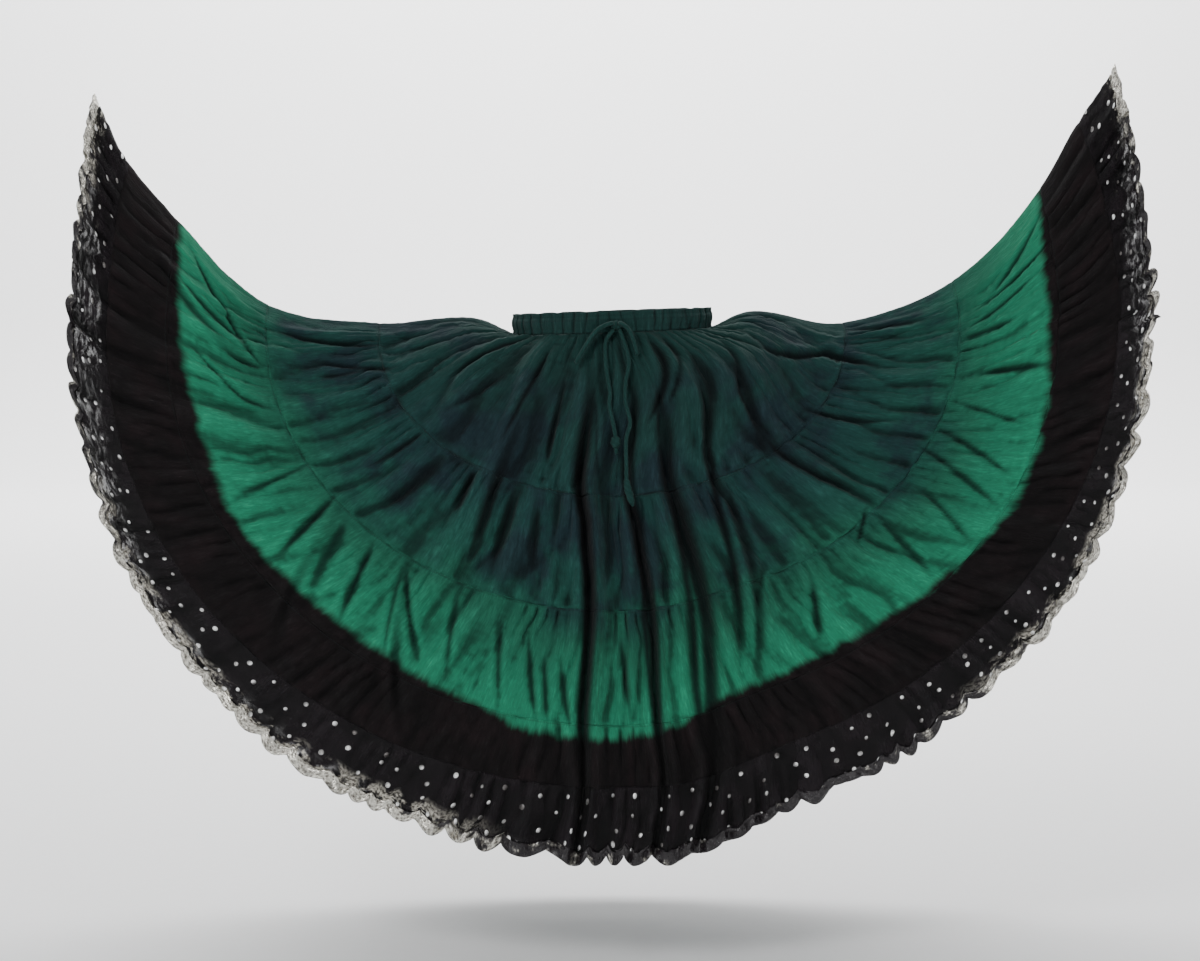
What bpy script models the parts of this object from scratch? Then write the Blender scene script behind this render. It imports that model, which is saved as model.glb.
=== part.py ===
"""Tiered gathered dance skirt, spread like a fan: a drawstring waistband, four gathered tiers,
a sheer ruffle and a metallic hem ribbon. It is worn at the waist, and its two side hem points are lifted.

The frame: +Z up, the wearer faces -Y, and the origin is the middle of the waistband.
Every ring of cloth runs once round the skirt: u from 0 to 0.5 is the front, left point to right point,
and 0.5 to 1 is the back on the way home. "Length" is measured down the cloth from the waistband's top.
"""

from typing import NamedTuple

import bmesh
import bpy
import numpy as np
from mathutils import Vector

# Sizes of the garment, in metres
WAIST_HALF_WIDTH = 0.163
WAIST_HALF_DEPTH = 0.112
BAND_HEIGHT = 0.035
BAND_TILT = 0.035  # rise per metre towards +X
BAND_WALL = 0.003
BAND_ROLL = 0.0022  # how far the cord inside rounds the casing out
TIER_WALL = 0.0014
RUFFLE_WALL = 0.0011
RIBBON_WALL = 0.0010
SEAM_GAP = 0.0003
COLUMNS = 216  # points round each ring of cloth
BAND_COLUMNS = 108


class Level(NamedTuple):
    """One horizontal seam or edge of the skirt, as the ring that it forms when the points are lifted.

    length: down the cloth; half_width and drop: half axes of the ring seen from the front;
    middle: height of its widest line; reach and lift: where it meets the left and right ridge;
    front and back: how far it stands out at the centre; roundness: power of the depth curve;
    pull: share by which the ring is drawn in at the lower right, beyond the deep centre folds.
    """

    length: float
    half_width: float
    drop: float
    middle: float
    reach_left: float
    lift_left: float
    reach_right: float
    lift_right: float
    front: float
    back: float
    roundness: float
    pull: float


LEVELS = {
    "band_foot": Level(0.035, 0.163, 0.000, -0.0175, 0.163, 0.000, 0.163, 0.000, 0.112, 0.112, 1.00, 0.000),
    "gathers": Level(0.085, 0.205, 0.050, -0.0120, 0.204, 0.010, 0.204, 0.022, 0.128, 0.130, 0.92, 0.000),
    "tier_1_foot": Level(0.290, 0.385, 0.262, -0.0160, 0.384, 0.013, 0.381, 0.013, 0.165, 0.180, 0.80, 0.005),
    "tier_2_foot": Level(0.485, 0.568, 0.460, 0.0040, 0.567, 0.023, 0.560, 0.060, 0.212, 0.230, 0.74, 0.018),
    "tier_3_foot": Level(0.685, 0.722, 0.636, 0.0040, 0.716, 0.162, 0.704, 0.212, 0.250, 0.268, 0.72, 0.032),
    "tier_4_foot": Level(0.795, 0.816, 0.732, 0.0040, 0.796, 0.255, 0.766, 0.322, 0.270, 0.286, 0.72, 0.036),
    "ribbon_seam": Level(0.887, 0.863, 0.823, 0.0020, 0.843, 0.350, 0.815, 0.403, 0.284, 0.300, 0.74, 0.040),
    "hem": Level(0.905, 0.871, 0.841, 0.0020, 0.852, 0.370, 0.824, 0.420, 0.287, 0.303, 0.75, 0.041),
}


class Gather(NamedTuple):
    """A ring of gathered folds: how many go round, their depth as a share of their width, and where they
    start, stand at their seam, are fullest, meet the next seam and die out, as lengths down the cloth."""

    folds: int
    share: float
    turn: float
    starts: float
    seam: float
    fullest: float
    foot: float
    ends: float


GATHERS = (
    Gather(24, 0.140, 0.0, 0.030, 0.035, 0.110, 0.290, 0.400),
    Gather(36, 0.135, 0.4, 0.270, 0.290, 0.360, 0.485, 0.560),
    Gather(54, 0.150, 1.1, 0.460, 0.485, 0.560, 0.685, 0.795),
    Gather(72, 0.250, 1.6, 0.690, 0.795, 0.905, 0.990, 1.100),
)
SEAM_SHARE = 0.45  # of a gather's full depth, at the seam that gathers it
FOOT_SHARE = 0.60  # at the seam below


class Drape(NamedTuple):
    """A deep fold that runs through the tiers. Top, middle and foot are its places round the half it is on,
    as shares from the left point to the right one, at the waistband, at DRAPE_MIDDLE and at the hem.
    Half width and depth are in metres, and it starts and ends at lengths down the cloth."""

    half: str
    top: float
    middle: float
    foot: float
    half_width: float
    depth: float
    starts: float
    ends: float


DRAPE_MIDDLE = 0.33
DRAPES = (
    Drape("front", 0.415, 0.467, 0.476, 0.0150, 0.036, 0.05, 1.20),
    Drape("front", 0.496, 0.524, 0.511, 0.0130, 0.028, 0.12, 1.20),
    Drape("front", 0.550, 0.578, 0.530, 0.0210, 0.030, 0.12, 1.20),
    Drape("front", 0.612, 0.640, 0.540, 0.0130, 0.015, 0.10, 0.70),
    Drape("front", 0.250, 0.270, 0.410, 0.0150, 0.018, 0.47, 0.80),
    Drape("front", 0.180, 0.190, 0.330, 0.0150, 0.015, 0.46, 0.78),
    Drape("front", 0.725, 0.742, 0.760, 0.0150, 0.015, 0.18, 0.52),
    Drape("front", 0.330, 0.350, 0.370, 0.0130, 0.014, 0.05, 0.50),
    Drape("front", 0.110, 0.105, 0.000, 0.0160, 0.013, 0.46, 0.74),
    Drape("back", 0.432, 0.472, 0.478, 0.0150, 0.034, 0.05, 1.20),
    Drape("back", 0.560, 0.536, 0.524, 0.0150, 0.034, 0.05, 1.20),
    Drape("back", 0.350, 0.385, 0.430, 0.0140, 0.018, 0.10, 0.80),
    Drape("back", 0.660, 0.620, 0.570, 0.0140, 0.018, 0.10, 0.80),
    Drape("back", 0.230, 0.260, 0.300, 0.0150, 0.014, 0.40, 0.80),
)

# How the columns crowd together: at the centres and ridges, and a little unevenly between
CROWDING = 0.42
UNEVEN = ((7.0, 0.0050), (11.0, 0.0032), (19.0, 0.0014))
RIDGE_CALM = 0.030  # share of the half round near a lifted point in which the folds flatten
MOST_FOLD = 0.015  # deepest single gather, from its middle

# The drawstring: a round tie with a bow at the centre front, tied in a round knot on the casing
TIE_RADIUS = 0.0032
KNOT_CENTRE = (0.006, -0.1202, -0.005)
KNOT_HALF = (0.0095, 0.0064, 0.0075)
KNOT_GAP = 0.0006


class Tie(NamedTuple):
    """A strand of the bow: where it leaves the knot, as a direction on its round, the places that it goes
    by, and where it comes back to the knot, if it does."""

    leaves: tuple
    places: tuple
    returns: tuple = ()


LOOP_LEFT = Tie(
    (-0.97, 0.10, 0.10),
    (
        (-0.0210, -0.1232, -0.0130),
        (-0.0400, -0.1315, -0.0340),
        (-0.0540, -0.1375, -0.0560),
        (-0.0580, -0.1408, -0.0640),
        (-0.0560, -0.1446, -0.0600),
        (-0.0420, -0.1390, -0.0360),
        (-0.0230, -0.1325, -0.0110),
    ),
    (-0.52, -0.78, 0.30),
)
LOOP_RIGHT = Tie(
    (0.97, 0.10, -0.05),
    (
        (0.0270, -0.1225, -0.0160),
        (0.0370, -0.1260, -0.0350),
        (0.0405, -0.1308, -0.0480),
        (0.0395, -0.1350, -0.0505),
        (0.0360, -0.1355, -0.0370),
        (0.0270, -0.1325, -0.0130),
    ),
    (0.52, -0.78, 0.30),
)
END_LEFT = Tie(
    (-0.50, -0.20, -0.84),
    (
        (-0.0100, -0.1265, -0.0290),
        (-0.0095, -0.1395, -0.0760),
        (-0.0040, -0.1500, -0.1120),
        (-0.0048, -0.1565, -0.1320),
        (0.0038, -0.1655, -0.1760),
        (0.0062, -0.1680, -0.2100),
    ),
)
END_RIGHT = Tie(
    (0.50, -0.20, -0.84),
    (
        (0.0200, -0.1285, -0.0350),
        (0.0264, -0.1415, -0.0640),
        (0.0212, -0.1475, -0.0940),
        (0.0204, -0.1535, -0.1240),
        (0.0280, -0.1610, -0.1600),
        (0.0220, -0.1700, -0.1840),
        (0.0218, -0.1860, -0.2260),
        (0.0230, -0.1975, -0.2560),
        (0.0322, -0.2030, -0.2900),
    ),
)


def smooth_step(value):
    held = np.clip(value, 0.0, 1.0)
    return held * held * (3 - 2 * held)


def half_turn_share(turn):
    """Share of the way from the left point to the right one, for a turn of 0 to pi along one half."""
    share = turn / np.pi - CROWDING / (4 * np.pi) * np.sin(4 * turn)
    for waves, size in UNEVEN:
        share = share + size * np.sin(2 * waves * turn) / 2
    return share


def round_share(u):
    """(share from the left point to the right one, +1 on the front or -1 on the back) for each u."""
    turn = 2 * np.pi * (np.asarray(u, float) % 1.0)
    front = turn <= np.pi
    along = np.where(front, turn, 2 * np.pi - turn)
    return half_turn_share(along), np.where(front, 1.0, -1.0)


def share_rate(u):
    """How fast the share changes along u, for a whole round of 2."""
    small = 1e-4
    before, _ = round_share(np.asarray(u) - small)
    after, _ = round_share(np.asarray(u) + small)
    return np.clip(np.abs(after - before) / (4 * small), 0.2, None)


def level_ring(level, u):
    """The points of one seam ring, before any folds."""
    share, side = round_share(u)
    rise_left = level.lift_left / level.drop if level.drop else 0.0
    rise_right = level.lift_right / level.drop if level.drop else 0.0
    angle = -rise_left + (np.pi + rise_left + rise_right) * share
    drawn = 1 - level.pull * smooth_step((share - 0.515) / 0.07) * smooth_step((1 - share) / 0.42)
    x = -level.half_width * drawn * np.cos(angle)
    z = -level.drop * drawn * np.sin(angle)
    for rise, beyond, reach, lift, sign in (
        (rise_left, -angle, level.reach_left, level.lift_left, -1.0),
        (rise_right, angle - np.pi, level.reach_right, level.lift_right, 1.0),
    ):
        if rise > 0:
            climb = np.clip(beyond / rise, 0.0, None)
            raised = beyond > 0
            x = np.where(raised, sign * (level.half_width - (level.half_width - reach) * climb**2), x)
            z = np.where(raised, lift * climb, z)
    depth = np.where(side > 0, -level.front, level.back)
    y = depth * np.clip(np.sin(np.pi * share), 0.0, 1.0) ** level.roundness
    return np.stack([x, y, z + level.middle + BAND_TILT * x * (level.drop == 0)], axis=1)


def body_ring(u, length):
    """The skirt's smooth form at this length: a curve through the seam rings, one for each column."""
    levels = list(LEVELS.values())
    stations = np.array([level.length for level in levels])
    rings = np.array([level_ring(level, u) for level in levels])
    slopes = np.diff(rings, axis=0) / np.diff(stations)[:, None, None]
    steps = np.diff(stations)[:, None, None]
    inner = (slopes[:-1] * steps[1:] + slopes[1:] * steps[:-1]) / (steps[:-1] + steps[1:])
    tangents = np.concatenate([slopes[:1], inner, slopes[-1:]])
    k = int(np.clip(np.searchsorted(stations, length) - 1, 0, len(stations) - 2))
    step = stations[k + 1] - stations[k]
    v = (length - stations[k]) / step
    return (
        (2 * v**3 - 3 * v**2 + 1) * rings[k]
        + (v**3 - 2 * v**2 + v) * step * tangents[k]
        + (3 * v**2 - 2 * v**3) * rings[k + 1]
        + (v**3 - v**2) * step * tangents[k + 1]
    )


def across(u, length):
    """Tangent round the ring, per unit of u, of the smooth form."""
    small = 2e-4
    return (body_ring(u + small, length) - body_ring(u - small, length)) / (2 * small)


def down(u, length):
    """Tangent down the cloth of the smooth form."""
    small = 1e-3
    return (body_ring(u, length + small) - body_ring(u, length - small)) / (2 * small)


def unit(vectors):
    return vectors / np.linalg.norm(vectors, axis=-1, keepdims=True)


def fold_wave(phase):
    """A gather's section: a broad crest and a narrow trough."""
    return np.cos(phase) - 0.25 * np.cos(2 * phase)


def fold_offset(u, length):
    """How far the folds move the cloth out (+) or in (-) at this length."""
    share, side = round_share(u)
    calm = np.clip(np.minimum(share, 1 - share) / RIDGE_CALM, 0.25, 1.0)
    spacing = np.linalg.norm(across(u, length), axis=1)
    offset = np.zeros(len(share))
    for gather in GATHERS:
        strength = np.interp(
            length,
            [gather.starts, gather.seam, gather.fullest, gather.foot, gather.ends],
            [0.0, SEAM_SHARE, 1.0, FOOT_SHARE, 0.0],
        )
        depth = np.minimum(gather.share * spacing / gather.folds, MOST_FOLD)
        offset += strength * depth * calm * fold_wave(2 * np.pi * gather.folds * u + gather.turn)
    half_round = spacing / 2 / np.abs(share_rate(u))
    for drape in DRAPES:
        on_half = side == (1.0 if drape.half == "front" else -1.0)
        strength = np.interp(
            length, [drape.starts, drape.starts + 0.25, drape.ends - 0.12, drape.ends], [0.0, 1.0, 1.0, 0.0]
        )
        place = np.interp(
            length, [LEVELS["band_foot"].length, DRAPE_MIDDLE, LEVELS["hem"].length],
            [drape.top, drape.middle, drape.foot],
        )
        trough = np.exp(-(((share - place) * half_round / drape.half_width) ** 2))
        offset -= np.where(on_half, drape.depth * strength * trough, 0.0)
    return offset


def cloth_ring(u, length):
    """(points, outward unit normals) of the folded cloth's middle surface."""

    def placed(at):
        outward = unit(np.cross(across(at, length), down(at, length)))
        return body_ring(at, length) + outward * fold_offset(at, length)[:, None]

    neighbour = 1.0 / COLUMNS
    lengthwise = unit(down(u, length))
    outward = unit(np.cross(placed(u + neighbour) - placed(u - neighbour), lengthwise))
    return placed(u), outward


def wall_mesh(name, rings):
    """A closed ring of wall from its rings, top to bottom, each (outer points, inner points).

    Both faces of the wall, and the rims of neighbours at a seam, split their quads the same way.
    """
    count = len(rings[0][0])
    bm = bmesh.new()
    loops = [[bm.verts.new(point) for point in outer] for outer, _ in rings]
    loops += [[bm.verts.new(point) for point in inner] for _, inner in reversed(rings)]
    for k, loop in enumerate(loops):
        below = loops[(k + 1) % len(loops)]
        split = ((0, 1, 2), (0, 2, 3)) if k < len(rings) else ((0, 1, 3), (1, 2, 3))
        for j in range(count):
            after = (j + 1) % count
            corners = (loop[j], below[j], below[after], loop[after])
            for triangle in split:
                bm.faces.new([corners[i] for i in triangle])
    bmesh.ops.recalc_face_normals(bm, faces=bm.faces)
    mesh = bpy.data.meshes.new(name)
    bm.to_mesh(mesh)
    bm.free()
    return mesh


def cloth_wall(name, start, end, shares, wall, material):
    """A node for the cloth between two lengths. Shares are its rows, from 0 at the top to 1 at the foot."""
    u = np.arange(COLUMNS) / COLUMNS
    rings = []
    for share in shares:
        length = start + SEAM_GAP / 2 + (end - start - SEAM_GAP) * share
        points, outward = cloth_ring(u, length)
        if start == LEVELS["band_foot"].length and share == 0:
            points = below_the_band(points, outward, wall, down(u, length))
        rings.append((points + outward * wall / 2, points - outward * wall / 2))
    return add_object(name, wall_mesh(name, rings), material)


def below_the_band(points, outward, wall, downward):
    """The top row of the first tier, let down until it clears the waistband, where it leaves rising too."""
    foot = LEVELS["band_foot"].middle + BAND_TILT * points[:, 0]
    highest = points[:, 2] + np.abs(outward[:, 2]) * wall / 2
    rising = np.clip(downward[:, 2], 0.0, None)
    lowered = points.copy()
    lowered[:, 2] -= np.clip(highest - foot, 0.0, None) + BAND_WALL * rising
    return lowered


def waistband(material):
    """The drawstring casing: a flattened tube of doubled cloth, rounded out by the cord inside it."""
    u = np.arange(BAND_COLUMNS) / BAND_COLUMNS
    level = LEVELS["band_foot"]
    foot = level_ring(level, u)
    outward = unit(np.cross(across(u, level.length), np.array([0.0, 0.0, -1.0])))
    pucker = 0.0012 * fold_wave(2 * np.pi * GATHERS[0].folds * u + GATHERS[0].turn)
    rings = []
    for height, roll in ((BAND_HEIGHT, 0.0), (BAND_HEIGHT / 2, BAND_ROLL), (SEAM_GAP, 0.0)):
        middle = foot + np.array([0.0, 0.0, height])
        out = BAND_WALL / 2 + roll + pucker * (height < BAND_HEIGHT)
        rings.append((middle + outward * out[:, None], middle - outward * BAND_WALL / 2))
    return add_object("waistband", wall_mesh("waistband", rings), material)


def smooth_route(route, spacing):
    """Evenly spaced points on a smooth curve through a cord's route points."""
    route = np.array(route, float)
    chords = np.linalg.norm(np.diff(route, axis=0), axis=1)
    knots = np.concatenate([[0.0], np.cumsum(np.sqrt(chords))])
    tangents = np.gradient(route, knots, axis=0)
    fine = []
    for k in range(len(route) - 1):
        step = knots[k + 1] - knots[k]
        for v in np.linspace(0, 1, 40, endpoint=k == len(route) - 2):
            fine.append(
                (2 * v**3 - 3 * v**2 + 1) * route[k]
                + (v**3 - 2 * v**2 + v) * step * tangents[k]
                + (3 * v**2 - 2 * v**3) * route[k + 1]
                + (v**3 - v**2) * step * tangents[k + 1]
            )
    fine = np.array(fine)
    along = np.concatenate([[0.0], np.cumsum(np.linalg.norm(np.diff(fine, axis=0), axis=1))])
    count = max(4, int(round(along[-1] / spacing)) + 1)
    at = np.linspace(0, along[-1], count)
    return np.stack([np.interp(at, along, fine[:, i]) for i in range(3)], axis=1), at


def beside_knot(direction):
    """Two points on the line that leaves the knot squarely: just clear of it, and a little farther out."""
    facing = np.array(direction) / np.linalg.norm(direction)
    normal = unit(facing / np.array(KNOT_HALF))
    start = np.array(KNOT_CENTRE) + np.array(KNOT_HALF) * facing + normal * KNOT_GAP
    return [start, start + normal * 1.2 * TIE_RADIUS]


def tie_route(tie):
    """The route points of a strand, with the ones that meet the knot."""
    back = beside_knot(tie.returns)[::-1] if tie.returns else []
    return [*beside_knot(tie.leaves), *tie.places, *back]


def cord(name, tie, finish, swellings=()):
    """A round cord along its route. Swellings are (distance along, half length, radius there)."""
    points, along = smooth_route(tie_route(tie), 2.2 * TIE_RADIUS)
    for place, half, _ in swellings:
        extra = [place + half * step for step in (-1.0, -0.7, -0.35, 0.0, 0.35, 0.7, 1.0)]
        extra = [at for at in extra if at < along[-1]]
        merged = np.unique(np.concatenate([along[np.abs(along - place) > 1.15 * half], extra, along[-1:]]))
        points = np.stack([np.interp(merged, along, points[:, i]) for i in range(3)], axis=1)
        along = merged
    curve = bpy.data.curves.new(name, "CURVE")
    curve.dimensions = "3D"
    curve.bevel_depth = TIE_RADIUS
    curve.bevel_resolution = 2
    curve.use_fill_caps = True
    spline = curve.splines.new("POLY")
    spline.points.add(len(points) - 1)
    for point, at, place in zip(spline.points, along, points):
        point.co = (*place, 1.0)
        scale = 1.0
        for centre, half, radius in swellings:
            inside = np.clip(1 - ((at - centre) / half) ** 2, 0, None)
            scale = max(scale, 1 + (radius / TIE_RADIUS - 1) * np.sqrt(inside))
        point.radius = scale
    return add_object(name, curve, finish)


def knot(material):
    """The bow's knot: a round of wrapped cord in front of the casing."""
    bm = bmesh.new()
    bmesh.ops.create_uvsphere(bm, u_segments=12, v_segments=8, radius=1.0)
    bmesh.ops.scale(bm, vec=Vector(KNOT_HALF), verts=bm.verts)
    bmesh.ops.translate(bm, vec=Vector(KNOT_CENTRE), verts=bm.verts)
    mesh = bpy.data.meshes.new("drawstring_knot")
    bm.to_mesh(mesh)
    bm.free()
    return add_object("drawstring_knot", mesh, material)


def material(name, colour, roughness, metallic=0.0):
    made = bpy.data.materials.new(name)
    made.use_nodes = True
    shader = made.node_tree.nodes["Principled BSDF"]
    shader.inputs["Base Color"].default_value = (*colour, 1.0)
    shader.inputs["Roughness"].default_value = roughness
    shader.inputs["Metallic"].default_value = metallic
    made.diffuse_color = (*colour, 1.0)
    return made


def add_object(name, data, finish):
    made = bpy.data.objects.new(name, data)
    data.materials.append(finish)
    bpy.data.collections["dance_skirt"].objects.link(made)
    return made


def main():
    for obj in list(bpy.data.objects):
        bpy.data.objects.remove(obj, do_unlink=True)
    bpy.context.scene.collection.children.link(bpy.data.collections.new("dance_skirt"))
    teal = material("teal_cotton", (0.012, 0.060, 0.050), 0.85)
    green = material("green_cotton", (0.010, 0.160, 0.085), 0.85)
    black = material("black_cotton", (0.010, 0.007, 0.008), 0.90)
    sheer = material("sheer_black", (0.030, 0.024, 0.030), 0.60)
    silver = material("silver_ribbon", (0.420, 0.410, 0.380), 0.35, 0.8)

    waistband(teal)
    foot = {name: level.length for name, level in LEVELS.items()}
    cloth_wall("tier_1", foot["band_foot"], foot["tier_1_foot"], (0, 0.4, 1), TIER_WALL, teal)
    cloth_wall("tier_2", foot["tier_1_foot"], foot["tier_2_foot"], (0, 0.38, 1), TIER_WALL, green)
    cloth_wall("tier_3", foot["tier_2_foot"], foot["tier_3_foot"], (0, 0.38, 1), TIER_WALL, green)
    cloth_wall("tier_4", foot["tier_3_foot"], foot["tier_4_foot"], (0, 0.5, 1), TIER_WALL, black)
    cloth_wall("hem_ruffle", foot["tier_4_foot"], foot["ribbon_seam"], (0, 1), RUFFLE_WALL, sheer)
    cloth_wall("hem_ribbon", foot["ribbon_seam"], foot["hem"], (0, 1), RIBBON_WALL, silver)
    knot(teal)
    cord("drawstring_loop_left", LOOP_LEFT, teal)
    cord("drawstring_loop_right", LOOP_RIGHT, teal)
    cord("drawstring_end_left", END_LEFT, teal, ((0.192, 0.0095, 0.0080),))
    cord("drawstring_end_right", END_RIGHT, teal, ((0.268, 0.0220, 0.0060),))


main()
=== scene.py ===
"""Looks of the tiered dance skirt: crinkled dip-dyed cotton tiers, a sheer ruffle with foil dots,
a crumpled foil hem and a tied drawstring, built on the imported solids' own form. Metres, +Z up, front at -Y.
"""

import logging
import math
from dataclasses import dataclass, field
from enum import Enum
from typing import Any, Optional, Sequence, Union

import bmesh
import bpy
import numpy as np
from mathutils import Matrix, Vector


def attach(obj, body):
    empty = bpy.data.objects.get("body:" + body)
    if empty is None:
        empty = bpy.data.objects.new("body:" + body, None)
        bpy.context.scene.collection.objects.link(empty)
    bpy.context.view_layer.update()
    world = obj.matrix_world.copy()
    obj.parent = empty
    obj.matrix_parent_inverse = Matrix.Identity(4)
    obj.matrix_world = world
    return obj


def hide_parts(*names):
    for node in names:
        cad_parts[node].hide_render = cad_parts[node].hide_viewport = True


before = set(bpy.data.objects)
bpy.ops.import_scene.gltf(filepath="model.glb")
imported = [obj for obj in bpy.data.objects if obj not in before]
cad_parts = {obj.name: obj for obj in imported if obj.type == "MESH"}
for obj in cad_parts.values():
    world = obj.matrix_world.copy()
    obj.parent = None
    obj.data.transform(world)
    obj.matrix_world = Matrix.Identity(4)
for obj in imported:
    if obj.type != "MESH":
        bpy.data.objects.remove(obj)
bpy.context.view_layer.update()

LOG = logging.getLogger("dance_skirt")
Array = np.ndarray
Value = Union[float, tuple, bpy.types.NodeSocket, None]
Point = tuple[float, float, float]

BODY = "root"
CLOTH_SCALE = 8.0  # metres of cloth to one unit of the cloth map


class Half(Enum):
    """The two faces of the spread skirt."""

    FRONT = 1.0
    BACK = -1.0


class CreaseKind(Enum):
    """How a crease looks: its half width and depth in metres, and how dark its painted shade is."""

    THIN = (0.0038, 0.0045, 0.60)
    PLAIN = (0.0055, 0.0060, 0.72)
    STRONG = (0.0068, 0.0090, 0.95)
    WIDE = (0.0115, 0.0090, 0.70)
    DEEP = (0.0110, 0.0160, 0.97)


def smooth_step(value: Array) -> Array:
    """A smooth rise from 0 to 1.

    Args:
        value: where on the rise; below 0 gives 0 and above 1 gives 1.

    Returns:
        The height of the rise there.
    """
    held = np.clip(value, 0.0, 1.0)
    return held * held * (3 - 2 * held)


def unit(vectors: Array) -> Array:
    """Vectors scaled to a length of 1."""
    return vectors / np.maximum(np.linalg.norm(vectors, axis=-1, keepdims=True), 1e-12)


@dataclass(frozen=True)
class SeamRing:
    """One seam or edge as the ring it forms with the hem points lifted, as in the part's source."""

    length: float
    half_width: float
    drop: float
    middle: float
    reach_left: float
    lift_left: float
    reach_right: float
    lift_right: float
    front: float
    back: float
    roundness: float
    pull: float

    def points(self, share: Array, side: Array, tilt: float) -> Array:
        """The ring's points.

        Args:
            share: place along the half, from the left point to the right one.
            side: 1 on the front and -1 on the back.
            tilt: rise of the waistband per metre towards +X.

        Returns:
            One point for each share.
        """
        rise_left = self.lift_left / self.drop if self.drop else 0.0
        rise_right = self.lift_right / self.drop if self.drop else 0.0
        angle = -rise_left + (np.pi + rise_left + rise_right) * share
        drawn = 1 - self.pull * smooth_step((share - 0.515) / 0.07) * smooth_step((1 - share) / 0.42)
        x = -self.half_width * drawn * np.cos(angle)
        z = -self.drop * drawn * np.sin(angle)
        for rise, beyond, reach, lift, sign in (
            (rise_left, -angle, self.reach_left, self.lift_left, -1.0),
            (rise_right, angle - np.pi, self.reach_right, self.lift_right, 1.0),
        ):
            if rise > 0:
                climb = np.clip(beyond / rise, 0.0, None)
                raised = beyond > 0
                x = np.where(raised, sign * (self.half_width - (self.half_width - reach) * climb**2), x)
                z = np.where(raised, lift * climb, z)
        depth = np.where(side > 0, -self.front, self.back)
        y = depth * np.clip(np.sin(np.pi * share), 0.0, 1.0) ** self.roundness
        return np.stack([x, y, z + self.middle + tilt * x * (self.drop == 0)], axis=-1)


@dataclass(frozen=True)
class Gather:
    """A ring of broad gathered folds, with the lengths between which it stands."""

    folds: int
    share: float
    turn: float
    starts: float
    seam: float
    fullest: float
    foot: float
    ends: float


@dataclass(frozen=True)
class Drape:
    """A deep fold through the tiers: its place at the top, the middle and the hem, and its size."""

    half: Half
    top: float
    middle: float
    foot: float
    half_width: float
    depth: float
    starts: float
    ends: float


@dataclass(frozen=True)
class Crease:
    """A listed crease: (share, length) places that it runs through, from its top to its foot."""

    kind: CreaseKind
    places: tuple[tuple[float, float], ...]
    half: Half = Half.FRONT

    def behind(self, shift: float, lower: float) -> "Crease":
        """A like crease on the hidden back.

        Args:
            shift: how far round it moves, as a share.
            lower: how far down the cloth it moves, in metres.

        Returns:
            The crease for the back.
        """
        places = tuple((min(max(1 - s + shift, 0.01), 0.99), v + lower) for s, v in self.places)
        return Crease(self.kind, places, Half.BACK)


def crease(kind: str, *places: tuple[float, float]) -> Crease:
    """A front crease by the name of its kind."""
    return Crease(CreaseKind[kind], places)


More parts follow.
